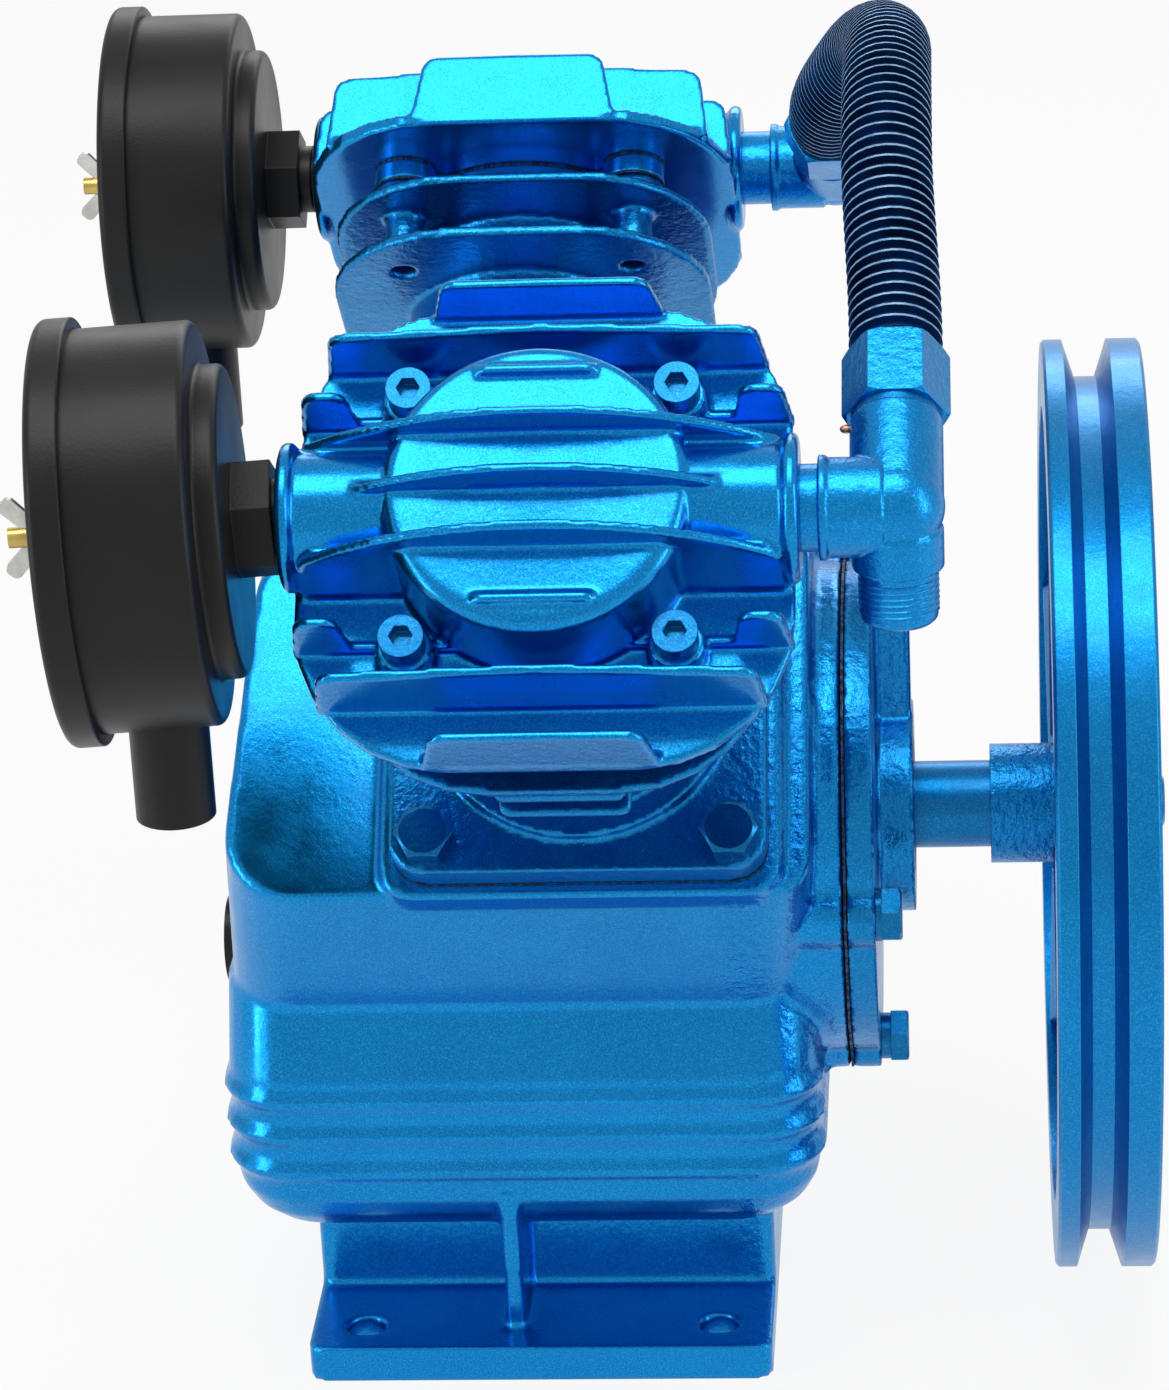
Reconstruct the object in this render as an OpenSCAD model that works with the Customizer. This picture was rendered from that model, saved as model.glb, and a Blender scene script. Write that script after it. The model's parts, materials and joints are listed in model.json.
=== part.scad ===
// Two-cylinder V compressor pump head with belt wheel, air filters and a finned discharge tube.
// X runs along the crankshaft towards the belt wheel, Y across the feet, Z up.
// The origin is the middle of the four foot holes, on the plane that the feet stand on.

/* [Layout] */
// Height of the crankshaft axis above the feet
axis_h = 160; // [155:1:170]
// Lean of each cylinder from upright, in degrees
lean = 45; // [43:0.5:47]
// Middle of the two cylinders along the crankshaft
bank_mid_x = 7.5; // [5:0.5:10]
// Distance between the cylinder axes along the crankshaft
bank_gap = 28; // [27:0.5:31]
// Radial clearance of turning, sliding and locating fits
fit = 0.05; // [0.03:0.01:0.09]
// Gap between faces of parts that pass each other
face_gap = 0.3; // [0.2:0.05:0.5]

/* [Feet] */
// Length of the feet along the crankshaft
foot_len = 150; // [145:1:156]
// Width across both feet
foot_span = 186; // [180:1:196]
// Thickness of the foot plate
foot_t = 12; // [10:1:15]
// Distance between foot holes along the crankshaft
foot_gap_x = 115; // [110:1:120]
// Distance between foot holes across the feet
foot_gap_y = 156; // [150:1:160]
// Diameter of a foot hole
foot_hole_d = 12; // [10:0.5:14]
// Width of the pedestal between the feet and the sump
pedestal_w = 104; // [96:1:110]
// Thickness of the web that stiffens each foot
gusset_t = 5.8; // [5:0.2:8]
// Place of that web along the crankshaft
gusset_x = -8.2; // [-12:0.2:0]

/* [Crankcase] */
// Reach of the crankcase from the foot middle, away from the belt wheel
case_left = 98; // [95:1:104]
// Reach of the crankcase wall towards the belt wheel
case_right = 92; // [90:0.5:95]
// Reach of the deck's lower corner, away from the belt wheel
deck_left = 91.5; // [90:0.5:95]
// Half width of the sump
sump_half = 84; // [82:1:88]
// Height of the sump floor's underside
floor_h = 42; // [39:0.5:43]
// Radius that rounds the sump into the pedestal
sump_r = 27; // [23:0.5:27.5]
// Height where the sump's upright wall ends
shoulder_h = 103; // [100:1:106]
// Height of the narrow waist
waist_h = 129; // [126:1:132]
// Half width at the waist
waist_half = 75; // [74:1:78]
// Rounding of the crankcase's upright corners
case_corner_r = 22; // [16:1:28]
// Reach of the crankcase at its top, away from the belt wheel
crown_left = 82; // [78:1:88]
// Wall of the crankcase
case_wall = 8; // [7:0.5:10]
// Distance from the crankshaft axis to the cylinder seats
seat_l = 88; // [87:0.5:91]
// Height of the raised pad under each cylinder
pad_rise = 4; // [3:0.5:6]
// Half width of the raised pad
pad_half = 62; // [60:1:64]
// Radius of the crank chamber
chamber_r = 68; // [66:0.5:69]
// Reach of each rib round the sump
rib_out = 2; // [1.5:0.1:2.6]
// Height of the lowest rib
rib_low_h = 71.5; // [68:0.5:73]
// Distance between ribs
rib_step = 12.5; // [11:0.5:13]

/* [End cover] */
// Place of the face that the end cover seats on
cover_seat_x = 101.5; // [100:0.5:104]
// Thickness of the cover gasket
cover_gasket_t = 0.8; // [0.5:0.1:1.5]
// Thickness of the end cover
cover_t = 9; // [8:0.5:12]
// Radius of the end cover
cover_r = 80; // [79:0.5:82]
// Pitch radius of the cover bolts
cover_pitch_r = 75; // [74.5:0.5:76]
// Radius of the lobe round each cover bolt
lobe_r = 10; // [9.5:0.5:11]
// Turn of the bolt circle below level, in degrees
cover_turn = 3; // [0:1:10]
// Radius of the bearing boss
boss_r = 34.5; // [34:0.5:38]
// Length of the bearing boss beyond the cover
boss_len = 12; // [11.7:0.1:14]
// Half width of the rib above the bearing boss
cover_rib_half = 7.6; // [6:0.2:9]

/* [Bearings] */
// Outer diameter of each ball bearing
bearing_od = 62; // [60:0.5:63]
// Bore of each ball bearing
bearing_id = 30; // [29.5:0.1:31]
// Width of each ball bearing
bearing_w = 16; // [15.5:0.1:16.5]
// Diameter of a bearing ball
ball_d = 9.5; // [9:0.1:10]
// Outer diameter of the oil seal
seal_od = 44; // [42:1:46]

/* [Crankshaft] */
// Throw of the crankpin, half of the stroke
throw = 19; // [17:0.5:20]
// Diameter of the crankpin
crankpin_d = 30; // [28:0.5:31]
// Diameter of the shaft beside the webs
shoulder_d = 36; // [34:0.5:38]
// Thickness of a crank web
web_t = 14; // [12:0.5:15]
// Radius of the counterweights
counterweight_r = 56; // [50:1:60]
// Diameter of the shaft where the belt wheel sits
shaft_d = 28.2; // [27:0.1:29]
// Width of the shaft key
key_w = 8; // [6:0.5:9]
// Height of the shaft key
key_h = 7; // [6:0.2:7.4]

/* [Rods and pistons] */
// Bore of each cylinder
bore_d = 65; // [64:0.5:66]
// Length of a connecting rod between its centres
rod_len = 150; // [146:0.5:151]
// Width of a connecting rod's big end
rod_w = 25; // [22:0.5:26]
// Outer radius of the big end
big_end_r = 21.5; // [20.5:0.5:23]
// Diameter of the piston pin
piston_pin_d = 12; // [11:0.5:13]
// Distance from the piston pin up to the crown
crown_up = 36; // [34:0.5:37]
// Distance from the piston pin down to the skirt's edge
skirt_down = 22; // [18:0.5:25]
// Wall of the piston skirt
skirt_wall = 3.5; // [3:0.1:3.8]
// Width of a piston ring
ring_w = 2.4; // [2:0.1:2.6]

/* [Cylinders] */
// Outer diameter of the cylinder barrel
barrel_d = 79; // [76:0.5:84]
// Width of the square flange
flange_w = 116; // [112:1:120]
// Thickness of the square flange
flange_t = 11; // [9:0.5:12]
// Radius of the low boss between flange and barrel
barrel_boss_r = 48; // [46:0.5:50]
// Thickness of the gasket under the flange
base_gasket_t = 1; // [0.5:0.1:1.5]
// Distance between flange bolts
flange_bolt_gap = 93.3; // [90:0.5:95]
// Distance from the crankshaft axis to the cylinder's top face
barrel_top_l = 209; // [208:0.5:211]
// Half width of the two large fins
cyl_fin_half = 64; // [60:1:67]
// Thickness of a cylinder fin
cyl_fin_t = 3.5; // [3:0.1:4]
// Distance between cylinder fins
cyl_fin_step = 20; // [18:0.5:21]

/* [Heads] */
// Half width of the head's rounded square plate
head_half = 71.5; // [70:0.5:73]
// Corner radius of that plate
head_corner_r = 45; // [40:1:50]
// Thickness of that plate
head_plate_t = 4.5; // [4:0.1:6]
// Thickness of the valve plate
valve_plate_t = 6; // [5:0.5:7]
// Thickness of each gasket at the valve plate
head_gasket_t = 0.8; // [0.5:0.1:1]
// Distance between head screws
head_screw_gap = 76.9; // [76:0.1:78]
// Radius of the head's round dome
dome_r = 43.8; // [43:0.1:45]
// Distance from the crankshaft axis to the top of the dome
dome_l = 257; // [255:0.5:259]
// Distance from the crankshaft axis to the port axis
port_l = 235.6; // [234:0.2:237]
// Radius of the port tube
port_tube_r = 18.8; // [18.4:0.1:18.9]
// Radius of the bead at each port
port_bead_r = 21.5; // [21:0.1:22.5]
// Distance from the cylinder axis to a port face
port_reach = 73.5; // [73:0.1:75]
// Radius of the port bore
port_bore_r = 10; // [9:0.2:11]
// Thickness of a head fin
head_fin_t = 2.8; // [2.4:0.1:3.4]
// Distance between head fins
head_fin_step = 17.5; // [17:0.1:18]
// Distance from the crankshaft axis to the top of the arched fins
arch_fin_l = 268; // [266:0.5:270]
// Radius of the arched fins' top edge
arch_fin_r = 110; // [105:1:120]

/* [Discharge fittings] */
// Distance from the front cylinder's axis to the discharge tee's centre
tee_reach = 100.6; // [100:0.2:103]
// Distance from the rear cylinder's axis to the discharge elbow's centre
elbow_reach = 105.2; // [103:0.2:107]
// Outer radius of the fittings' branches
fitting_r = 14.2; // [13.8:0.1:14.6]
// Bore radius of the fittings
fitting_bore_r = 6.5; // [5.5:0.1:7]
// Width across flats of the tube nuts
tube_nut_af = 27; // [26:0.5:28]
// Distance from the fitting's centre to the near face of a tube nut
tube_nut_near = 29; // [28:0.5:31]
// Length of a tube nut with its sealing ring
tube_nut_len = 25; // [23:0.5:27]
// Distance from the tee's centre to the start of the discharge thread
thread_near = 18; // [17:0.5:19]
// Radius of the discharge thread
outlet_r = 11.2; // [11:0.1:12]
// Bore radius of the discharge thread
outlet_bore_r = 8.2; // [8:0.1:8.4]
// Distance from the tee's centre to the end of the discharge thread
outlet_len = 34.2; // [33:0.2:36]

/* [Finned tube] */
// Rise of the tube's straight ends above level, in degrees
tube_rise = 32.3; // [31.5:0.1:33]
// Radius over the tube's fins
tube_fin_r = 13.6; // [13.2:0.1:14.2]
// Radius between the fins
tube_root_r = 11; // [10.6:0.1:11.4]
// Outer radius of the plain ends
tube_end_r = 9.5; // [9:0.1:10]
// Bore radius of the tube
tube_bore_r = 7.6; // [7.1:0.1:7.8]
// Radius of the tube's bend
tube_bend_r = 115.5; // [112:0.5:119]
// Distance between the tube's fins
tube_fin_pitch = 4; // [3.8:0.1:4.4]

/* [Belt wheel] */
// Radius of the belt wheel
wheel_r = 150; // [145:1:155]
// Place of the wheel's face towards the crankcase
wheel_x = 166.3; // [164:0.1:169]
// Width of the wheel's rim
wheel_w = 31.3; // [30:0.1:34]
// Width of the rim between groove and inner face
wheel_lip_in = 6.6; // [5:0.1:8]
// Width of the belt groove at its mouth
groove_w = 14.5; // [13:0.1:15]
// Width of the belt groove at its floor
groove_floor_w = 6.8; // [6:0.1:8]
// Depth of the belt groove
groove_depth = 12; // [10:0.5:13]
// Radius inside the rim
rim_in_r = 129; // [126:0.5:131]
// Radius of the wheel's hub
hub_r = 19.4; // [18.9:0.1:21]
// Reach of the hub beyond the rim, towards the crankcase
hub_out = 18.5; // [16:0.5:20]
// Number of arms
arm_count = 5; // [4:1:6]
// Width of an arm
arm_w = 40; // [34:1:42]
// Thickness of an arm
arm_t = 7; // [6:0.5:8]
// Pitch of the arms, in degrees, which makes the wheel a fan
arm_pitch = 35; // [25:1:38]

/* [Air filters] */
// Turn of the front filter towards the front, in degrees
filter_yaw_front = 3.5; // [0:0.5:4]
// Turn of the rear filter towards the front, in degrees
filter_yaw_rear = 1; // [0:0.5:3]
// Sag of the front filter's outer end, in degrees
filter_sag = 2.2; // [0:0.2:2.6]
// Gap from the front head's port to the filter's hexagon
filter_gap_front = 2; // [1:0.5:4]
// Gap from the rear head's port to the filter's hexagon
filter_gap_rear = 6; // [4:0.5:8]
// Width across flats of the filter's hexagon
neck_af = 30.5; // [29:0.5:31]
// Length of the filter's hexagon
neck_len = 11.2; // [10:0.2:13]
// Radius of the step between hexagon and can
can_step_r = 44.9; // [42:0.1:47]
// Length of that step
can_step_len = 7.5; // [6:0.5:9]
// Radius of the filter can
can_r = 57.8; // [56:0.1:59]
// Length of the filter can
can_len = 34.2; // [32:0.2:37]
// Wall of the filter can
can_wall = 2.5; // [2:0.1:3]
// Radius of the filter's lid
lid_r = 61.2; // [60.7:0.1:62]
// Length of the lid's rim
lid_len = 9.8; // [9:0.1:11]
// Radius of the air inlet spout
spout_r = 11.7; // [11:0.1:12.4]
// Distance from the filter axis to the end of the spout
spout_len = 89.5; // [87:0.5:93]
// Distance from the front filter's step to the middle of its spout
spout_x_front = 24.3; // [23.5:0.1:25]
// Distance from the rear filter's step to the middle of its spout
spout_x_rear = 28; // [26:0.1:29]
// Diameter of the filter stud
stud_d = 6; // [5:0.5:7]

/* [Fasteners] */
// Diameter of the flange and cover bolts
bolt_d = 10; // [9:0.5:10.5]
// Width across flats of their hexagon heads
bolt_af = 16; // [15.5:0.5:17]
// Height of their heads
bolt_head_h = 6.4; // [5.5:0.1:7]
// Depth of their tapped holes
bolt_depth = 18; // [16:0.5:19]
// Diameter of the head screws
screw_d = 8; // [7:0.5:8.5]
// Diameter of the head screws' round heads
screw_head_d = 13; // [12.5:0.1:13.5]
// Height of those heads
screw_head_h = 8; // [7:0.1:9]
// Distance from the crankshaft axis to the seat of those heads
screw_seat_l = 231.5; // [230:0.5:233]

/* [Hidden] */

front = -1;
rear = 1;
// Overrun of every cut
over = 0.5;
// Thickness of the thin slices that hulls stretch between
slice = 0.5;
round_steps = 6;
$fn = 64;

function bank_x(side) = bank_mid_x - side * bank_gap / 2;
head_low_l = barrel_top_l + 2 * head_gasket_t + valve_plate_t;
head_top_l = head_low_l + head_plate_t;
flange_low_l = seat_l + base_gasket_t;
flange_top_l = flange_low_l + flange_t;
cover_x = cover_seat_x + cover_gasket_t;
cover_face_x = cover_x + cover_t;
boss_face_x = cover_face_x + boss_len;
left_bearing_x = -(case_left - 1.5 * case_wall);
left_bearing_in_x = left_bearing_x + bearing_w;
web_gap = bank_gap + rod_w + 2 * face_gap;
web_left_x = bank_mid_x - web_gap / 2;
web_right_x = bank_mid_x + web_gap / 2;
wheel_face_x = wheel_x + wheel_w;
washer_t = bolt_head_h * 0.45;
hub_face_x = wheel_face_x - washer_t;
washer_r = bolt_af * 0.52;
blue = [0.03, 0.36, 0.66];
dark_blue = [0.02, 0.2, 0.42];

function unit(v) = v / norm(v);
function turn_of(a) = a > 180 ? a - 360 : a < -180 ? a + 360 : a;

// One corner of an outline, rounded with an arc
function corner(p, v, q, r) =
  let (a = unit(p - v), b = unit(q - v), half = acos(a * b) / 2)
  let (c = v + unit(a + b) * r / sin(half), s = v + a * r / tan(half), e = v + b * r / tan(half))
  let (from = atan2(s[1] - c[1], s[0] - c[0]), to = atan2(e[1] - c[1], e[0] - c[0]))
  let (sweep = turn_of(to - from))
  r == 0 ? [v] : [for (i = [0 : round_steps])
    c + r * [cos(from + sweep * i / round_steps), sin(from + sweep * i / round_steps)]];

// An outline with every corner rounded by its own radius
function rounded(pts, radii) = let (n = len(pts))
  [for (i = [0 : n - 1]) each corner(pts[(i + n - 1) % n], pts[i], pts[(i + 1) % n], radii[i])];

function box_pts(x0, x1, y0, y1) = [[x0, y0], [x1, y0], [x1, y1], [x0, y1]];

module rounded_box(x0, x1, y0, y1, r) {
  polygon(rounded(box_pts(x0, x1, y0, y1), [r, r, r, r]));
}

// Local frame of a cylinder bank: z along the bore from the crankshaft axis, x along the crankshaft
module on_bank(side) {
  translate([bank_x(side), 0, axis_h])
    rotate([-side * lean, 0, 0])
      children();
}

module on_axis() {
  translate([0, 0, axis_h])
    children();
}

// A port's frame: origin on the port axis at the bank's middle, axes as the whole part
module at_port(side) {
  translate([bank_x(side), side * port_l * sin(lean), axis_h + port_l * cos(lean)])
    children();
}

// A solid of revolution about the X axis, drawn as radius and place
module spin_x() {
  rotate([0, 90, 0])
    rotate_extrude()
      children();
}

module rod_x(x0, x1, r) {
  translate([x0, 0, 0])
    rotate([0, 90, 0])
      cylinder(h = x1 - x0, r = r);
}

module tube_x(x0, x1, r_out, r_in) {
  difference() {
    rod_x(x0, x1, r_out);
    rod_x(x0 - over, x1 + over, r_in);
  }
}

module at_square(gap) {
  for (x = [-1, 1], y = [-1, 1])
    translate([x * gap / 2, y * gap / 2, 0])
      children();
}

module ring_plate(z0, t) {
  translate([0, 0, z0])
    linear_extrude(t)
      children();
}

// Hexagon bolt, head up, with the underside of its head at zero
module hex_bolt(d, af, head_h, length) {
  chamfer = head_h * 0.18;
  head_r = af / 2 / cos(30);
  intersection() {
    cylinder(h = head_h, r = head_r, $fn = 6);
    rotate_extrude()
      polygon([[0, 0], [head_r, 0], [head_r, head_h - chamfer], [head_r - 1.7 * chamfer, head_h],
        [0, head_h]]);
  }
  translate([0, 0, -length])
    cylinder(h = length + over, d = d);
}

module washer(r, hole_r, t) {
  difference() {
    cylinder(h = t, r = r);
    translate([0, 0, -over])
      cylinder(h = t + 2 * over, r = hole_r);
  }
}

/* Crankcase */

// A level slice of the crankcase, drawn in from its walls
module case_slice(h, left, right, half, r, inset = 0) {
  translate([0, 0, h])
    linear_extrude(slice)
      rounded_box(inset - left, right - inset, inset - half, half - inset, r);
}

module sump() {
  hull() {
    for (a = [0 : 18 : 90])
      case_slice(floor_h + sump_r * (1 - cos(a)), case_left, case_right, sump_half,
        case_corner_r * (0.45 + 0.55 * sin(a)), sump_r * (1 - sin(a)));
    case_slice(shoulder_h - slice, case_left, case_right, sump_half, case_corner_r);
    case_slice(waist_h - slice, case_left, case_right, waist_half, case_corner_r, slice);
  }
}

// The slanted plate under the cylinder pads, one on each side
module deck_slice(side) {
  body_half = pad_half - pad_rise / 2;
  translate([0, 0, axis_h])
    rotate([-side * lean, 0, 0])
      translate([0, 0, seat_l - pad_rise - slice])
        linear_extrude(slice)
          scale([1, -side])
            polygon(rounded([[-deck_left, -body_half], [case_right, -body_half],
              [case_right, body_half], [-crown_left, body_half]],
              [case_corner_r, case_corner_r / 2, case_corner_r / 2, case_corner_r]));
}

module crank_house() {
  hull() {
    case_slice(waist_h - case_wall, case_left, case_right - slice, waist_half, case_corner_r, rib_out);
    deck_slice(front);
    deck_slice(rear);
  }
}

module sump_rib(h) {
  rib_half_h = rib_step * 0.36;
  hull() {
    case_slice(h - rib_half_h, case_left, case_right, sump_half, case_corner_r, slice);
    case_slice(h - slice / 2, case_left, case_right, sump_half, case_corner_r, -rib_out);
    case_slice(h + rib_half_h, case_left, case_right, sump_half, case_corner_r, slice);
  }
}

module cover_lobes() {
  for (k = lobe_places)
    rotate(cover_turn + 60 * k)
      translate([-cover_pitch_r, 0])
        children();
}

// Outline that the crankcase flange, the gasket and the end cover share, in Y and Z
module cover_outline() {
  circle(r = cover_r);
  cover_lobes()
    circle(r = lobe_r);
}

module extrude_x(x0, t) {
  translate([x0, 0, 0])
    rotate([90, 0, 90])
      linear_extrude(t)
        children();
}

module foot_gusset() {
  outer = foot_span / 2 - foot_t;
  top = rib_low_h - rib_step * 0.7;
  translate([gusset_x - gusset_t / 2, 0, 0])
    rotate([90, 0, 90])
      linear_extrude(gusset_t)
        polygon([[0, foot_t / 2], [outer, foot_t / 2], [outer, foot_t],
          [outer + foot_t * 0.3, top], [0, top]]);
}

// Four of six places, 60 degrees apart, carry a lobe
lobe_places = [0, 1, 3, 4];
sight_h = shoulder_h + foot_t;
sight_r = 10;
breather_x = -(crown_left - sump_r);
breather_r = 8;
crown_h = axis_h + (seat_l - pad_rise) * cos(lean) + (pad_half - pad_rise / 2) * sin(lean);

module crankcase() {
  color(blue)
    difference() {
      union() {
        sump();
        crank_house();
        for (k = [0 : 2])
          sump_rib(rib_low_h + k * rib_step);
        for (side = [front, rear])
          on_bank(side)
            ring_plate(seat_l - 2 * pad_rise, 2 * pad_rise)
              rounded_box(-pad_half, pad_half, -pad_half, pad_half, 2.5 * pad_rise);
        on_axis() {
          extrude_x(case_right - case_wall, cover_seat_x - case_right + case_wall)
            cover_outline();
          extrude_x(cover_seat_x - 1.8 * lobe_r, 1.8 * lobe_r)
            cover_lobes()
              circle(r = lobe_r);
        }
        linear_extrude(foot_t)
          rounded_box(-foot_len / 2, foot_len / 2, -foot_span / 2, foot_span / 2, foot_t / 3);
        linear_extrude(floor_h + case_wall)
          rounded_box(-foot_len / 2, foot_len / 2, -pedestal_w / 2, pedestal_w / 2, foot_t / 3);
        foot_gusset();
        mirror([0, 1, 0])
          foot_gusset();
        translate([0, 0, sight_h])
          rod_x(-case_left - pad_rise, -case_left + case_wall, 1.7 * sight_r);
      }
      crankcase_cuts();
    }
}

module crankcase_cuts() {
  chamber_left = left_bearing_in_x;
  on_axis() {
    rod_x(chamber_left, cover_seat_x + over, chamber_r);
    rod_x(left_bearing_x, chamber_left + over, bearing_od / 2 + fit);
    extrude_x(cover_seat_x - bolt_depth, bolt_depth + over)
      cover_lobes()
        circle(d = bolt_d + 2 * fit);
  }
  translate([0, 0, floor_h + case_wall])
    linear_extrude(waist_h - floor_h - case_wall)
      rounded_box(1.5 * case_wall - case_left, case_right - 1.5 * case_wall,
        case_wall * 1.5 - waist_half, waist_half - 1.5 * case_wall, case_wall);
  for (side = [front, rear])
    on_bank(side) {
      translate([0, 0, chamber_r * 0.8])
        cylinder(h = seat_l, d = barrel_d + 2 * fit);
      at_square(flange_bolt_gap)
        translate([0, 0, seat_l - bolt_depth])
          cylinder(h = bolt_depth + over, d = bolt_d + 2 * fit);
    }
  for (x = [-1, 1], y = [-1, 1])
    translate([x * foot_gap_x / 2, y * foot_gap_y / 2, -over])
      cylinder(h = foot_t + 2 * over, d = foot_hole_d);
  translate([0, 0, sight_h])
    rod_x(-case_left - pad_rise - over, -case_left + 2 * case_wall, sight_r + fit);
  translate([breather_x, 0, axis_h])
    cylinder(h = crown_h, r = breather_r + fit);
}

// The glass window that shows the oil level
module sight_glass() {
  color([0.8, 0.9, 0.9, 0.5])
    translate([0, 0, sight_h])
      rod_x(-case_left - pad_rise / 2, -case_left + case_wall / 2, sight_r);
}

module sight_glass_ring() {
  ring_t = pad_rise * 0.75;
  color(dark_blue)
    translate([0, 0, sight_h])
      difference() {
        rod_x(-case_left - pad_rise - ring_t, -case_left - pad_rise, 1.45 * sight_r);
        rod_x(-case_left - pad_rise - ring_t - over, -case_left - pad_rise + over, 0.75 * sight_r);
      }
}

// Filler plug with breather slots, in the valley between the cylinders
module oil_breather() {
  cap_r = 1.7 * breather_r;
  cap_h = 1.2 * breather_r;
  color(dark_blue)
    translate([breather_x, 0, crown_h])
      difference() {
        union() {
          translate([0, 0, -case_wall])
            cylinder(h = case_wall + cap_h / 2, r = breather_r);
          cylinder(h = cap_h / 3, r = cap_r);
          translate([0, 0, cap_h / 2])
            cylinder(h = cap_h, r = cap_r);
          translate([0, 0, 1.5 * cap_h])
            cylinder(h = cap_h / 4, r1 = cap_r, r2 = 0.8 * cap_r);
        }
        translate([0, 0, -case_wall - over])
          cylinder(h = case_wall + cap_h, r = breather_r / 2);
      }
}

/* End cover and its seal */

module cover_gasket() {
  color([0.1, 0.1, 0.12])
    on_axis()
      extrude_x(cover_seat_x, cover_gasket_t)
        difference() {
          cover_outline();
          circle(r = chamber_r);
          cover_lobes()
            circle(d = bolt_d + 2 * fit);
        }
}

seal_x = cover_x + bearing_w;
module end_cover() {
  rib_top = cover_r - 2 * fit;
  color(blue)
    on_axis()
      difference() {
        union() {
          extrude_x(cover_x, cover_t)
            cover_outline();
          rod_x(cover_x, boss_face_x, boss_r);
          extrude_x(cover_face_x - over, boss_len)
            polygon([[-cover_rib_half, 0], [cover_rib_half, 0], [cover_rib_half * 0.8, rib_top],
              [-cover_rib_half * 0.8, rib_top]]);
        }
        rod_x(cover_x - over, seal_x, bearing_od / 2 + fit);
        rod_x(seal_x - over, boss_face_x + over, seal_od / 2 + fit);
        extrude_x(cover_x - over, cover_t + 2 * over)
          cover_lobes()
            circle(d = bolt_d + 2 * fit);
      }
}

module oil_seal() {
  color([0.08, 0.08, 0.08])
    on_axis()
      tube_x(seal_x + fit, boss_face_x - fit, seal_od / 2, shaft_d / 2 + fit);
}

// Turns a bolt so that its head points along +X
module cover_bolt_frame(k) {
  rotate([cover_turn + 60 * k, 0, 0])
    translate([cover_face_x, -cover_pitch_r, 0])
      rotate([0, 90, 0])
        children();
}

plug_place = 1;
module cover_bolts() {
  color(blue)
    on_axis()
      for (k = lobe_places)
        if (k != plug_place)
          cover_bolt_frame(k) {
            washer(washer_r, bolt_d / 2 - fit, bolt_head_h * 0.3);
            translate([0, 0, bolt_head_h * 0.3])
              hex_bolt(bolt_d, bolt_af, bolt_head_h, cover_t + cover_gasket_t + bolt_depth * 0.8);
          }
}

// The lowest screw on the near side: a plug with a collar and a spaced hexagon
module oil_plug() {
  collar = bolt_head_h * 0.5;
  color(blue)
    on_axis()
      cover_bolt_frame(plug_place) {
        cylinder(h = collar, r = washer_r * 0.9);
        translate([0, 0, collar - fit])
          hex_bolt(bolt_d, bolt_af, bolt_head_h * 0.9,
                   collar + cover_t + cover_gasket_t + bolt_depth * 0.8);
      }
}

/* Bearings */

ball_pitch_r = (bearing_od + bearing_id) / 4;
ball_count = 9;
module bearing_ring_outer(x0) {
  difference() {
    tube_x(x0, x0 + bearing_w - 2 * fit, bearing_od / 2, ball_pitch_r + ball_d * 0.3);
    ball_groove(x0);
  }
}

module ball_groove(x0) {
  translate([x0 + bearing_w / 2, 0, 0])
    spin_x()
      translate([ball_pitch_r, 0])
        circle(r = ball_d / 2 + fit);
}

module at_bearings() {
  on_axis()
    for (x0 = [left_bearing_x + fit, cover_x + fit])
      translate([x0, 0, 0])
        children();
}

module bearing_outer_rings() {
  color([0.75, 0.76, 0.78])
    at_bearings()
      bearing_ring_outer(0);
}

module bearing_inner_rings() {
  color([0.75, 0.76, 0.78])
    at_bearings()
      difference() {
        tube_x(0, bearing_w - 2 * fit, ball_pitch_r - ball_d * 0.3, bearing_id / 2 + fit / 2);
        ball_groove(0);
      }
}

module bearing_balls() {
  color([0.85, 0.86, 0.88])
    at_bearings()
      for (k = [0 : ball_count - 1])
        rotate([360 / ball_count * k, 0, 0])
          translate([bearing_w / 2, 0, ball_pitch_r])
            sphere(r = ball_d / 2 - fit / 2);
}

/* Crankshaft */

gallery_r = throw * 0.16;
gallery_depth = bearing_w * 0.75;
shaft_left_x = left_bearing_x + 2 * fit;
key_x = wheel_x - hub_out / 2;
key_len = hub_face_x - key_x - hub_out / 4;

module web_outline() {
  intersection() {
    circle(r = counterweight_r);
    translate([-counterweight_r * 0.75, -counterweight_r])
      square([counterweight_r * 1.5, counterweight_r - throw / 3]);
  }
  circle(d = shoulder_d + web_t / 2);
  translate([0, throw])
    circle(d = crankpin_d + web_t / 2);
  translate([-crankpin_d / 2 - web_t / 4, 0])
    square([crankpin_d + web_t / 2, throw]);
}

module crankshaft() {
  color([0.35, 0.37, 0.4])
    on_axis()
      difference() {
        union() {
          rod_x(shaft_left_x, web_left_x, bearing_id / 2);
          rod_x(left_bearing_in_x, web_left_x, shoulder_d / 2);
          extrude_x(web_left_x - web_t, web_t)
            web_outline();
          translate([0, 0, throw])
            rod_x(web_left_x - over, web_right_x + over, crankpin_d / 2);
          extrude_x(web_right_x, web_t)
            web_outline();
          rod_x(web_right_x, cover_x - fit, shoulder_d / 2);
          rod_x(web_right_x, seal_x, bearing_id / 2);
          rod_x(web_right_x, hub_face_x - washer_t * 0.1, shaft_d / 2);
        }
        translate([0, 0, throw / 2])
          rod_x(shaft_left_x - over, shaft_left_x + gallery_depth, gallery_r + fit);
        translate([key_x - fit, -key_w / 2 - fit, (shaft_d - key_h) / 2 - fit])
          cube([key_len + 2 * fit, key_w + 2 * fit, key_h]);
        rod_x(hub_face_x - 1.5 * bolt_depth, hub_face_x + over, bolt_d / 2 + fit);
      }
}

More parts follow.
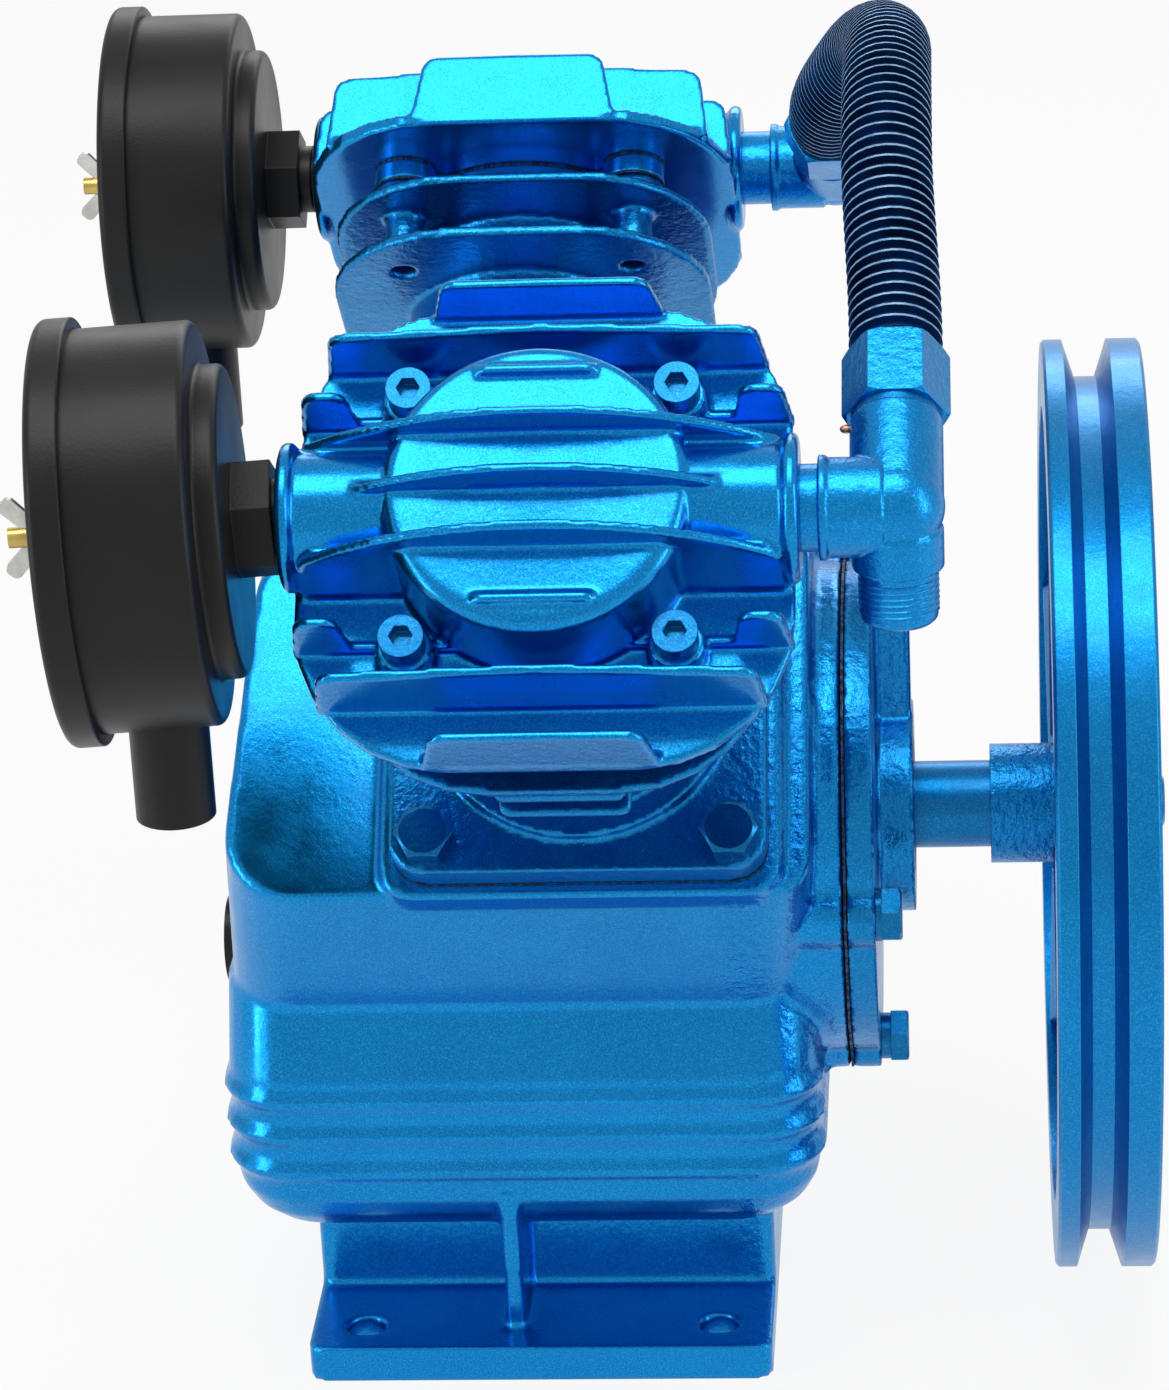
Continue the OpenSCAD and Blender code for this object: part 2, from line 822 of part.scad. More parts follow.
// Round plug in the drilling at the shaft's far end, on the axis halfway to the crankpin
module gallery_plug() {
  color([0.6, 0.5, 0.25])
    on_axis()
      translate([0, 0, throw / 2])
        rod_x(shaft_left_x + fit, shaft_left_x + gallery_depth - fit, gallery_r);
}

module shaft_key() {
  color([0.6, 0.6, 0.62])
    on_axis()
      translate([key_x, -key_w / 2, (shaft_d - key_h) / 2])
        cube([key_len, key_w, key_h - fit]);
}

/* Belt wheel */

module wheel_arm() {
  reach = rim_in_r - hub_r;
  translate([wheel_w / 2, 0, hub_r + reach / 2])
    rotate([0, 0, arm_pitch])
      cube([arm_t, arm_w, reach + 0.2 * hub_r], center = true);
}

module belt_wheel() {
  slope = (groove_w - groove_floor_w) / 2;
  edge = groove_depth * 0.08;
  lip = wheel_lip_in;
  color(blue)
    on_axis()
      translate([wheel_x, 0, 0])
        difference() {
          union() {
            spin_x()
              polygon([[rim_in_r, 0], [wheel_r - edge, 0], [wheel_r, edge], [wheel_r, lip],
                [wheel_r - groove_depth, lip + slope],
                [wheel_r - groove_depth, lip + slope + groove_floor_w],
                [wheel_r, lip + groove_w], [wheel_r, wheel_w - edge], [wheel_r - edge, wheel_w],
                [rim_in_r, wheel_w]]);
            rod_x(-hub_out, hub_face_x - wheel_x, hub_r);
            intersection() {
              for (k = [0 : arm_count - 1])
                rotate([360 / arm_count * k, 0, 0])
                  wheel_arm();
              rod_x(0, wheel_w, rim_in_r + edge);
            }
          }
          rod_x(-hub_out - over, wheel_w + over, shaft_d / 2 + fit);
          translate([-hub_out - over, -key_w / 2 - fit, 0])
            cube([hub_out + wheel_w + 2 * over, key_w + 2 * fit, (shaft_d + key_h) / 2 + fit]);
        }
}

module wheel_washer() {
  color(blue)
    on_axis()
      tube_x(hub_face_x, wheel_face_x, hub_r * 0.8, bolt_d / 2 + fit);
}

module wheel_bolt() {
  color(blue)
    on_axis()
      translate([wheel_face_x, 0, 0])
        rotate([0, 90, 0])
          hex_bolt(bolt_d, bolt_af, bolt_head_h, washer_t + bolt_depth);
}

/* Cylinders and what seals them */

module lobed_plate_outline() {
  circle(r = barrel_d / 2 + cyl_fin_t);
  at_square(head_screw_gap)
    circle(r = screw_head_d * 0.8);
  rotate(45)
    square([head_screw_gap * 1.42, screw_head_d], center = true);
  rotate(-45)
    square([head_screw_gap * 1.42, screw_head_d], center = true);
}

module base_gaskets() {
  color([0.12, 0.12, 0.14])
    for (side = [front, rear])
      on_bank(side)
        difference() {
          ring_plate(seat_l, base_gasket_t)
            rounded_box(-flange_w / 2, flange_w / 2, -flange_w / 2, flange_w / 2, flange_t);
          ring_plate(seat_l - over, base_gasket_t + 2 * over) {
            circle(d = barrel_d + 2 * fit);
            at_square(flange_bolt_gap)
              circle(d = bolt_d + 2 * fit);
          }
        }
}

fin_top_l = barrel_top_l - 6 * head_plate_t / 4;
module cylinder_fins() {
  for (k = [0, 1])
    ring_plate(fin_top_l - k * cyl_fin_step - cyl_fin_t, cyl_fin_t)
      rounded_box(-cyl_fin_half, cyl_fin_half, -cyl_fin_half, cyl_fin_half, cyl_fin_half * 0.7);
  for (k = [2, 3], y = [-1, 1]) {
    tab = cyl_fin_half - k * cyl_fin_t * 0.8;
    ring_plate(fin_top_l - k * cyl_fin_step - cyl_fin_t, cyl_fin_t) {
      circle(r = barrel_d / 2 + 2 * cyl_fin_t);
      rounded_box(-cyl_fin_step, cyl_fin_step, y * tab / 2 - tab / 2, y * tab / 2 + tab / 2, cyl_fin_t);
    }
  }
}

module cylinder_form() {
  difference() {
    union() {
      translate([0, 0, seat_l - case_wall])
        cylinder(h = barrel_top_l - seat_l + case_wall, d = barrel_d);
      ring_plate(flange_low_l, flange_t)
        rounded_box(-flange_w / 2, flange_w / 2, -flange_w / 2, flange_w / 2, flange_t);
      ring_plate(flange_low_l + flange_t / 2, flange_t * 0.8)
        circle(r = barrel_boss_r);
      ring_plate(fin_top_l - cyl_fin_t / 2, barrel_top_l - fin_top_l + cyl_fin_t / 2)
        lobed_plate_outline();
      cylinder_fins();
      at_square(head_screw_gap)
        translate([0, 0, fin_top_l - cyl_fin_step - cyl_fin_t])
          cylinder(h = cyl_fin_step + cyl_fin_t, r = screw_head_d / 2);
    }
    translate([0, 0, seat_l - case_wall - over])
      cylinder(h = barrel_top_l - seat_l + case_wall + 2 * over, d = bore_d);
    at_square(head_screw_gap)
      translate([0, 0, fin_top_l - cyl_fin_step - cyl_fin_t - over])
        cylinder(h = cyl_fin_step + 6 * head_plate_t, d = screw_d + 2 * fit);
    at_square(flange_bolt_gap)
      translate([0, 0, flange_low_l - over])
        cylinder(h = flange_t + 2 * over, d = bolt_d + 2 * fit);
  }
}

module front_cylinder() {
  color(blue)
    on_bank(front)
      cylinder_form();
}

module rear_cylinder() {
  color(blue)
    on_bank(rear)
      cylinder_form();
}

module flange_bolts() {
  color(blue)
    for (side = [front, rear])
      on_bank(side)
        at_square(flange_bolt_gap)
          translate([0, 0, flange_top_l])
            hex_bolt(bolt_d, bolt_af, bolt_head_h, flange_t + base_gasket_t + bolt_depth * 0.8);
}

module head_gaskets() {
  color([0.12, 0.12, 0.14])
    for (side = [front, rear], l = [barrel_top_l, barrel_top_l + head_gasket_t + valve_plate_t])
      on_bank(side)
        ring_plate(l, head_gasket_t)
          difference() {
            lobed_plate_outline();
            circle(d = bore_d);
            at_square(head_screw_gap)
              circle(d = screw_d + 2 * fit);
          }
}

valve_low_l = barrel_top_l + head_gasket_t;
valve_hole_r = valve_plate_t / 2;
valve_hole_x = bore_d * 0.22;
reed_t = head_gasket_t * 0.75;
module valve_holes() {
  for (x = [-1, 1], y = [-1, 1])
    translate([x * valve_hole_x, y * valve_hole_x / 2, 0])
      children();
}

module valve_plate() {
  color([0.5, 0.52, 0.55])
    difference() {
      ring_plate(valve_low_l, valve_plate_t)
        lobed_plate_outline();
      translate([0, 0, valve_low_l - over]) {
        at_square(head_screw_gap)
          cylinder(h = valve_plate_t + 2 * over, d = screw_d + 2 * fit);
        valve_holes()
          cylinder(h = valve_plate_t + 2 * over, r = valve_hole_r);
      }
    }
}

module front_valve_plate() {
  on_bank(front)
    valve_plate();
}

module rear_valve_plate() {
  on_bank(rear)
    valve_plate();
}

// Suction reed under the plate on the filter side, discharge reed on top on the other side
module valve_reeds() {
  reed_half = valve_hole_x / 2 + 2 * valve_hole_r;
  color([0.7, 0.72, 0.75])
    for (side = [front, rear])
      on_bank(side)
        for (way = [-1, 1])
          translate([way * valve_hole_x, 0, way < 0 ? valve_low_l - reed_t : valve_low_l + valve_plate_t])
            linear_extrude(reed_t)
              rounded_box(-1.5 * valve_hole_r, 1.5 * valve_hole_r, -reed_half, reed_half, valve_hole_r);
}

/* Cylinder heads */

// A fin across the head, as the outline of its length and height
module head_fin(y, pts, radii) {
  translate([0, y + head_fin_t / 2, 0])
    rotate([90, 0, 0])
      linear_extrude(head_fin_t)
        polygon(rounded(pts, radii));
}

// Top edge of the arched fins, one arc from end to end
function arch_edge(half) = [for (i = [-6 : 6])
  let (x = half * i / 6) [x, arch_fin_l - arch_fin_r + sqrt(arch_fin_r ^ 2 - x ^ 2)]];

low_fin_l = dome_l - 2.2 * head_plate_t;
fin_foot_l = head_top_l - head_plate_t / 2;
fin_round = 2 * head_fin_t;

module plain_fin(y, half, top, draft = head_fin_t, crown = 0) {
  head_fin(y, [[-half, fin_foot_l], [half, fin_foot_l], [half - draft, top], [0, top + crown],
    [draft - half, top]], [0, 0, fin_round, 0, fin_round]);
}

module arch_fin(y, half) {
  head_fin(y, concat([[half, fin_foot_l], [-half, fin_foot_l]], arch_edge(half - head_fin_t)),
    [for (i = [0 : 14]) 0]);
}

module head_fins() {
  edge_half = head_half * 0.475;
  wide_half = head_half * 0.9;
  lug_in = head_half * 0.75;
  for (y = [-4, 4])
    plain_fin(y * head_fin_step, edge_half, low_fin_l - 1.8 * head_fin_t, 1.5 * head_fin_t, head_fin_t / 6);
  for (y = [-3, 3])
    plain_fin(y * head_fin_step, wide_half, low_fin_l - head_fin_t, head_fin_t, 1.5 * head_fin_t);
  for (y = [-2, 2]) {
    for (x = [-1, 1])
      translate([x * (lug_in + head_half) / 2, 0, 0])
        plain_fin(y * head_fin_step, (head_half - lug_in) / 2, low_fin_l - 1.5 * head_fin_t);
    plain_fin(y * head_fin_step, dome_r * 0.48, dome_l + head_fin_t / 2);
    head_fin(y * head_fin_step,
      box_pts(-head_half * 0.95, head_half * 0.95, fin_foot_l, head_top_l + screw_head_h / 2),
      [0, 0, 0, 0]);
  }
  for (y = [-1, 0, 1])
    arch_fin(y * head_fin_step, head_half * 0.98);
}

module head_dome() {
  soft = head_plate_t;
  rotate_extrude()
    polygon(concat([[0, head_low_l], [dome_r, head_low_l]],
      corner([dome_r, head_low_l], [dome_r, dome_l - soft / 3], [0, dome_l + soft / 3], soft),
      [[0, dome_l]]));
}

module port_tube() {
  bead = head_plate_t;
  translate([0, 0, port_l]) {
    rod_x(-port_reach, port_reach, port_tube_r);
    for (x = [-1, 1])
      scale([x, 1, 1])
        translate([port_reach - bead, 0, 0])
          spin_x()
            polygon(rounded(box_pts(0, port_bead_r, 0, bead), [0, bead * 0.45, bead * 0.45, 0]));
  }
}

// Suction and discharge chambers, parted by a wall across the dome
module head_chambers() {
  wall = head_plate_t;
  roof = dome_l - 2 * wall;
  for (x = [-1, 1])
    intersection() {
      translate([0, 0, head_low_l - over])
        cylinder(h = roof - head_low_l + over, r = bore_d / 2);
      translate([x * (dome_r + wall) / 2, 0, head_low_l + dome_r / 2])
        cube([dome_r, 2 * dome_r, 2 * dome_r], center = true);
    }
  for (x = [-1, 1])
    scale([x, 1, 1])
      translate([0, 0, port_l])
        rod_x(wall, port_reach + over, port_bore_r + fit);
}

module head_form() {
  difference() {
    union() {
      ring_plate(head_low_l, head_plate_t)
        lobed_plate_outline();
      ring_plate(head_top_l - head_plate_t, head_plate_t)
        rounded_box(-head_half, head_half, -head_half, head_half, head_corner_r);
      head_dome();
      port_tube();
      head_fins();
      at_square(head_screw_gap)
        translate([0, 0, head_low_l])
          cylinder(h = screw_seat_l - head_low_l, r = screw_head_d * 0.62);
    }
    head_chambers();
    at_square(head_screw_gap) {
      translate([0, 0, head_low_l - over])
        cylinder(h = screw_seat_l, d = screw_d + 2 * fit);
      translate([0, 0, screw_seat_l])
        cylinder(h = arch_fin_l, r = screw_head_d * 0.62 + fit);
    }
  }
}

module front_head() {
  color(blue)
    on_bank(front)
      head_form();
}

module rear_head() {
  color(blue)
    on_bank(rear)
      head_form();
}

// Socket head screws, from the head down into the cylinder's columns
module head_screws() {
  socket_af = screw_head_d * 0.46;
  reach = screw_seat_l - fin_top_l + cyl_fin_step - cyl_fin_t;
  color(blue)
    for (side = [front, rear])
      on_bank(side)
        at_square(head_screw_gap)
          translate([0, 0, screw_seat_l])
            difference() {
              union() {
                cylinder(h = screw_head_h, d = screw_head_d);
                translate([0, 0, -reach])
                  cylinder(h = reach + over, d = screw_d);
              }
              translate([0, 0, screw_head_h / 2])
                cylinder(h = screw_head_h, d = socket_af / cos(30), $fn = 6);
            }
}

/* Pistons and connecting rods */

pin_l = rod_len + throw * cos(lean);
piston_r = bore_d / 2 - fit - fit / 2;
crown_solid = crown_up * 0.62;
eye_r = piston_pin_d / 2 + piston_pin_d * 0.19;
eye_w = piston_pin_d * 1.3;
pin_gap = eye_w / 2 + 3 * face_gap;
ring_places_share = [0.15, 0.3, 0.46];

module on_piston(side) {
  on_bank(side)
    translate([0, 0, pin_l])
      children();
}

module piston(side) {
  inner_r = piston_r - skirt_wall;
  color([0.78, 0.79, 0.8])
    on_piston(side)
      difference() {
        union() {
          difference() {
            translate([0, 0, -skirt_down])
              cylinder(h = skirt_down + crown_up, r = piston_r);
            translate([0, 0, -skirt_down - over])
              cylinder(h = skirt_down + crown_up - crown_solid + over, r = inner_r);
          }
          for (x = [-1, 1])
            scale([x, 1, 1])
              rod_x(pin_gap, inner_r + skirt_wall / 2, piston_pin_d * 0.8);
        }
        for (x = [-1, 1])
          scale([x, 1, 1])
            rod_x(pin_gap - over, inner_r + skirt_wall / 4, piston_pin_d / 2 + fit);
        for (s = ring_places_share)
          translate([0, 0, crown_up * (1 - s) - ring_w])
            washer(piston_r + over, piston_r - 1.25 * ring_w, ring_w + 2 * fit);
      }
}

module front_piston() {
  piston(front);
}

module rear_piston() {
  piston(rear);
}

module piston_rings(side) {
  color([0.3, 0.3, 0.32])
    on_piston(side)
      for (s = ring_places_share)
        translate([0, 0, crown_up * (1 - s) - ring_w + fit])
          washer(piston_r + fit / 2, piston_r - 1.2 * ring_w, ring_w);
}

module front_rings() {
  piston_rings(front);
}

module rear_rings() {
  piston_rings(rear);
}

// The piston pin's two ends. Its middle is open, so that the rod's eye can pass between them
module pin_stubs(side) {
  color([0.7, 0.7, 0.72])
    on_piston(side)
      for (x = [-1, 1])
        scale([x, 1, 1])
          rod_x(pin_gap + face_gap, piston_r - skirt_wall, piston_pin_d / 2);
}

module front_pin_stubs() {
  pin_stubs(front);
}

module rear_pin_stubs() {
  pin_stubs(rear);
}

// Rod frame: the crankpin's centre, z along the cylinder
module on_rod(side) {
  on_bank(side)
    translate([0, -side * throw * sin(lean), throw * cos(lean)])
      children();
}

rod_bolt_d = rod_w * 0.28;
rod_bolt_af = rod_bolt_d * 1.4;
rod_bolt_y = crankpin_d / 2 + rod_bolt_d * 0.8;
ear_half = rod_bolt_y + rod_bolt_d * 0.9;
ear_h = rod_bolt_d * 1.3;
shank_t = rod_w * 0.36;

module rod_half_cut(way) {
  far = rod_len * 1.5;
  translate([-rod_w, -far, way > 0 ? -far : -fit])
    cube([2 * rod_w, 2 * far, far + fit]);
}

module big_end() {
  rod_x(-rod_w / 2, rod_w / 2, big_end_r);
  translate([-rod_w * 0.36, -ear_half, -ear_h])
    cube([rod_w * 0.72, 2 * ear_half, 2 * ear_h]);
}

module big_end_holes() {
  rod_x(-rod_w, rod_w, crankpin_d / 2 + fit);
  for (y = [-1, 1])
    translate([0, y * rod_bolt_y, -2 * ear_h])
      cylinder(h = 4 * ear_h, d = rod_bolt_d + 2 * fit);
}

module rod(side) {
  foot_half = big_end_r * 0.55;
  neck_half = eye_r * 0.8;
  color([0.62, 0.63, 0.65])
    on_rod(side)
      difference() {
        union() {
          big_end();
          translate([-shank_t / 2, 0, 0])
            rotate([90, 0, 90])
              linear_extrude(shank_t)
                polygon([[-foot_half, 0], [foot_half, 0], [neck_half, rod_len], [-neck_half, rod_len]]);
          translate([0, 0, rod_len])
            rod_x(-eye_w / 2, eye_w / 2, eye_r);
        }
        big_end_holes();
        rod_half_cut(1);
        translate([0, 0, rod_len])
          rod_x(-eye_w, eye_w, piston_pin_d / 2 + fit);
      }
}

module front_rod() {
  rod(front);
}

module rear_rod() {
  rod(rear);
}

// Lower half of the big end, with the finger that splashes oil
module rod_cap(side) {
  color([0.62, 0.63, 0.65])
    on_rod(side)
      difference() {
        union() {
          big_end();
          translate([0, 0, -big_end_r - eye_w])
            cylinder(h = big_end_r, r = rod_bolt_d * 0.35);
        }
        big_end_holes();
        for (y = [-1, 1])
          translate([0, y * rod_bolt_y, -3 * ear_h])
            cylinder(h = 2 * ear_h, r = rod_bolt_af / 2 / cos(30) + face_gap);
        rod_half_cut(-1);
      }
}

module front_rod_cap() {
  rod_cap(front);
}

module rear_rod_cap() {
  rod_cap(rear);
}

module rod_bolts(side) {
  color([0.45, 0.45, 0.47])
    on_rod(side)
      for (y = [-1, 1])
        translate([0, y * rod_bolt_y, -ear_h])
          mirror([0, 0, 1])
            hex_bolt(rod_bolt_d, rod_bolt_af, rod_bolt_d * 0.6, 1.8 * ear_h);
}

module front_rod_bolts() {
  rod_bolts(front);
}

module rear_rod_bolts() {
  rod_bolts(rear);
}

/* Discharge fittings and the finned tube */

function fitting_reach(side) = side == front ? tee_reach : elbow_reach;
module at_fitting(side) {
  at_port(side)
    translate([fitting_reach(side), 0, 0])
      children();
}

// Turns +Z to the direction in which the tube leaves a fitting
module along_tube(side) {
  rotate([side * (90 - tube_rise), 0, 0])
    children();
}

nipple_in = port_bore_r * 1.2;
branch_len = fitting_r * 1.55;
module discharge_nipples() {
  color(blue)
    for (side = [front, rear])
      at_port(side)
        difference() {
          union() {
            rod_x(port_reach - nipple_in, fitting_reach(side) - fitting_r - 2 * fit, port_bore_r);
            rod_x(port_reach, fitting_reach(side) - branch_len, port_bore_r * 1.25);
          }
          rod_x(port_reach - 2 * nipple_in, fitting_reach(side), fitting_bore_r);
        }
}

arm_r = fitting_r * 0.94;
column_r = arm_r * 0.985;
fitting_ball_r = arm_r * 1.02;
module fitting_branch(side) {
  bead = fitting_r * 0.16;
  rod_x(-branch_len, -fitting_r * 0.28, fitting_r);
  rod_x(-branch_len, bead - branch_len, fitting_r + bead / 3);
  sphere(r = fitting_ball_r);
  along_tube(side)
    cylinder(h = tube_nut_near, r = arm_r);
}

module fitting_bores(side) {
  rod_x(-2 * branch_len, 0, fitting_bore_r);
  rod_x(-2 * branch_len, -fitting_r - fit, port_bore_r + fit);
  along_tube(side)
    cylinder(h = tube_nut_near + tube_nut_len, r = tube_bore_r);
}

// Three-way fitting at the front head, with the outlet thread pointing down
module discharge_tee() {
  chamfer = outlet_r * 0.12;
  color(blue)
    at_fitting(front)
      difference() {
        union() {
          fitting_branch(front);
          translate([0, 0, -outlet_len])
            rotate_extrude()
              polygon([[0, 0], [outlet_r - chamfer, 0], [outlet_r, chamfer],
                [outlet_r, outlet_len - thread_near], [column_r, outlet_len - thread_near],
                [column_r, outlet_len - fitting_bore_r], [0, outlet_len]]);
        }
        fitting_bores(front);
        translate([0, 0, -outlet_len - over])
          cylinder(h = outlet_len + over, r = outlet_bore_r);
      }
}

module discharge_elbow() {
  color(blue)
    at_fitting(rear)
      difference() {
        fitting_branch(rear);
        fitting_bores(rear);
      }
}

ferrule_t = tube_nut_near * 0.086;
module tube_ferrules() {
  color([0.72, 0.4, 0.2])
    for (side = [front, rear])
      at_fitting(side)
        along_tube(side)
          translate([0, 0, tube_nut_near])
            difference() {
              cylinder(h = ferrule_t, r = arm_r * 0.96);
              translate([0, 0, -over])
                cylinder(h = ferrule_t + 2 * over, r = fitting_bore_r);
            }
}

module tube_nuts() {
  corner_r = tube_nut_af / 2 / cos(30);
  near = tube_nut_near + ferrule_t;
  edge = tube_nut_len * 0.06;
  body = tube_nut_len - ferrule_t;
  color(blue)
    for (side = [front, rear])
      at_fitting(side)
        along_tube(side)
          translate([0, 0, near])
            difference() {
              intersection() {
                cylinder(h = body, r = corner_r, $fn = 6);
                rotate_extrude()
                  polygon([[0, 0], [corner_r - edge, 0], [corner_r, edge * 0.7],
                    [corner_r, body - edge * 0.7], [corner_r - edge, body], [0, body]]);
              }
              translate([0, 0, -over])
                cylinder(h = tube_nut_len + 2 * over, r = tube_end_r + fit);
            }
}

// Route of the tube: a straight run, one bend over the top, a straight run down
tube_straight = (port_l * sin(lean) - tube_bend_r * sin(tube_rise)) / cos(tube_rise);
tube_centre_h = axis_h + port_l * cos(lean) + tube_straight * sin(tube_rise) - tube_bend_r * cos(tube_rise);
bend_len = tube_bend_r * 2 * tube_rise * PI / 180;
tube_len = 2 * tube_straight + bend_len;
tube_x_front = bank_x(front) + tee_reach;
tube_x_rear = bank_x(rear) + elbow_reach;

// Sideways shift from the tee's plane to the elbow's, mostly behind the top of the bend
function eased(k) = let (c = max(0, min(1, k))) c * c * (3 - 2 * c);
function tube_shift(k) = 0.1 * eased((k - 0.155) / 0.2) + 0.9 * eased((k - 0.51) / 0.335);
function tube_turn(s) =
  max(-tube_rise, min(tube_rise, (s - tube_straight) / tube_bend_r * 180 / PI - tube_rise));
function tube_point(s) =
  let (a = tube_turn(s), left = min(0, s - tube_straight), right = max(0, s - tube_straight - bend_len))
  [tube_x_front + (tube_x_rear - tube_x_front) * tube_shift(s / tube_len),
    tube_bend_r * sin(a) + (left + right) * cos(a),
    tube_centre_h + tube_bend_r * cos(a) - (left + right) * sin(a)];

tube_sides = 12;
function tube_ring(s, r) =
  let (d = tube_fin_pitch / 4, t = unit(tube_point(s + d) - tube_point(s - d)))
  let (n = unit(cross(t, [1, 0, 0])), b = cross(t, n))
  [for (k = [0 : tube_sides - 1])
    let (a = 360 / tube_sides * k) tube_point(s) + r * (cos(a) * n + sin(a) * b)];

tube_in = tube_nut_near + ferrule_t + face_gap / 3;
fins_from = tube_nut_near + 1.1 * tube_nut_len;
fin_total = floor((tube_len - 2 * fins_from) / tube_fin_pitch);
fin_pitch_true = (tube_len - 2 * fins_from) / fin_total;
tube_skin = concat([[tube_in, tube_end_r], [fins_from, tube_end_r], [fins_from, tube_root_r]],
  [for (i = [0 : fin_total - 1]) each [[fins_from + (i + 0.5) * fin_pitch_true, tube_fin_r],
    [fins_from + (i + 1) * fin_pitch_true, tube_root_r]]],
  [[tube_len - fins_from, tube_end_r], [tube_len - tube_in, tube_end_r]]);
bore_steps = 30;
tube_bore = [for (i = [0 : bore_steps])
  [tube_in + (tube_len - 2 * tube_in) * i / bore_steps, tube_bore_r]];

function quad(a, b, c, d) = [[a, b, c], [a, c, d]];
function skin_faces(base, rings, out) = [for (i = [0 : rings - 2], k = [0 : tube_sides - 1])
  let (j = (k + 1) % tube_sides, a = base + i * tube_sides, b = a + tube_sides)
  each (out ? quad(a + k, b + k, b + j, a + j) : quad(a + k, a + j, b + j, b + k))];
function end_faces(a, b, out) = [for (k = [0 : tube_sides - 1])
  let (j = (k + 1) % tube_sides)
  each (out ? quad(a + k, b + k, b + j, a + j) : quad(a + k, a + j, b + j, b + k))];

module finned_tube() {
  skin_n = len(tube_skin);
  bore_n = len(tube_bore);
  bore_base = skin_n * tube_sides;
  color(dark_blue)
    polyhedron(
      points = concat([for (q = tube_skin) each tube_ring(q[0], q[1])],
        [for (q = tube_bore) each tube_ring(q[0], q[1])]),
      faces = concat(skin_faces(0, skin_n, true), skin_faces(bore_base, bore_n, false),
        end_faces(0, bore_base, false),
        end_faces((skin_n - 1) * tube_sides, bore_base + (bore_n - 1) * tube_sides, true)));
}

/* Air filters */

// The frame of a filter's port: x runs from the port's face outwards
module at_filter_port(side) {
  at_port(side)
    mirror([1, 0, 0])
      translate([port_reach, 0, 0])
        children();
}

function filter_yaw(side) = side == front ? filter_yaw_front : filter_yaw_rear;
function filter_dip(side) = side == front ? filter_sag : 0;
function filter_pivot(side) = filter_gap(side) + neck_len / 2;
function filter_way(side) = let (a = filter_yaw(side), b = filter_dip(side))
  [cos(b) * cos(a), -cos(b) * sin(a), -sin(b)];
function on_filter_axis(side, x) =
  [filter_pivot(side), 0, 0] + (x - filter_pivot(side)) * filter_way(side);

// A filter's own frame, which leans a little from the port's as it is screwed in
module at_filter(side) {
  at_filter_port(side)
    translate([filter_pivot(side), 0, 0])
      rotate([0, filter_dip(side), -filter_yaw(side)])
        translate([-filter_pivot(side), 0, 0])
          children();
}

function filter_gap(side) = side == front ? filter_gap_front : filter_gap_rear;
function step_x(side) = filter_gap(side) + neck_len;
function can_x(side) = step_x(side) + can_step_len;
function lid_x(side) = can_x(side) + can_len;
function spout_place(side) =
  on_filter_axis(side, step_x(side) + (side == front ? spout_x_front : spout_x_rear));

module can_form(side) {
  gap = filter_gap(side);
  soft = can_wall;
  at_filter_port(side) {
    rod_x(-nipple_in, gap + over, port_bore_r);
    rod_x(gap / 3, gap + 2 * over, port_bore_r * 1.15);
    translate(spout_place(side) - [0, 0, spout_len])
      cylinder(h = spout_len, r = spout_r);
  }
  at_filter(side) {
    translate([gap, 0, 0])
      rotate([0, 90, 0])
        cylinder(h = neck_len + over, d = neck_af / cos(30), $fn = 6);
    spin_x()
      polygon(rounded([[0, step_x(side)], [can_step_r, step_x(side)], [can_step_r, can_x(side)],
        [can_r, can_x(side)], [can_r, lid_x(side) + lid_lap], [0, lid_x(side) + lid_lap]],
        [0, soft, soft / 2, soft, 0, 0]));
  }
}

lid_lap = lid_len * 0.7;
module filter_can(side) {
  inside_x = step_x(side) + can_wall;
  color([0.13, 0.13, 0.14])
    difference() {
      can_form(side);
      at_filter(side) {
        rod_x(inside_x, can_x(side) + can_wall, can_step_r - can_wall);
        rod_x(can_x(side) + can_wall, lid_x(side) + lid_len, can_r - can_wall);
        for (a = [0 : 60 : 300])
          rotate([a, 0, 0])
            translate([0, 0, stud_d])
              rod_x(-2 * nipple_in, inside_x + over, stud_d * 0.22);
        rod_x(step_x(side) - can_wall, inside_x + over, stud_d / 2 + fit);
      }
      at_filter_port(side)
        translate(spout_place(side) - [0, 0, spout_len + over])
          cylinder(h = spout_len + over, r = spout_r - can_wall);
    }
}

module front_filter_can() {
  filter_can(front);
}

module rear_filter_can() {
  filter_can(rear);
}

module filter_lid(side) {
  x0 = lid_x(side);
  color([0.13, 0.13, 0.14])
    at_filter(side)
      difference() {
        spin_x()
          polygon(rounded([[0, x0], [lid_r, x0], [lid_r, x0 + lid_len], [0, x0 + lid_len]],
            [0, can_wall / 3, can_wall, 0]));
        rod_x(x0 - over, x0 + lid_lap + fit, can_r + fit);
        rod_x(x0, x0 + lid_len + over, stud_d / 2 + fit);
      }
}

module front_filter_lid() {
  filter_lid(front);
}

module rear_filter_lid() {
  filter_lid(rear);
}

module filter_elements() {
  color([0.85, 0.82, 0.7])
    for (side = [front, rear])
      at_filter(side)
        tube_x(can_x(side) + can_wall + fit, lid_x(side) + lid_lap, can_r * 0.78, can_r * 0.55);
}

module filter_studs() {
  color([0.72, 0.55, 0.2])
    for (side = [front, rear])
      at_filter(side)
        rod_x(step_x(side) - can_wall, lid_x(side) + lid_len + 2.3 * stud_d, stud_d / 2);
}

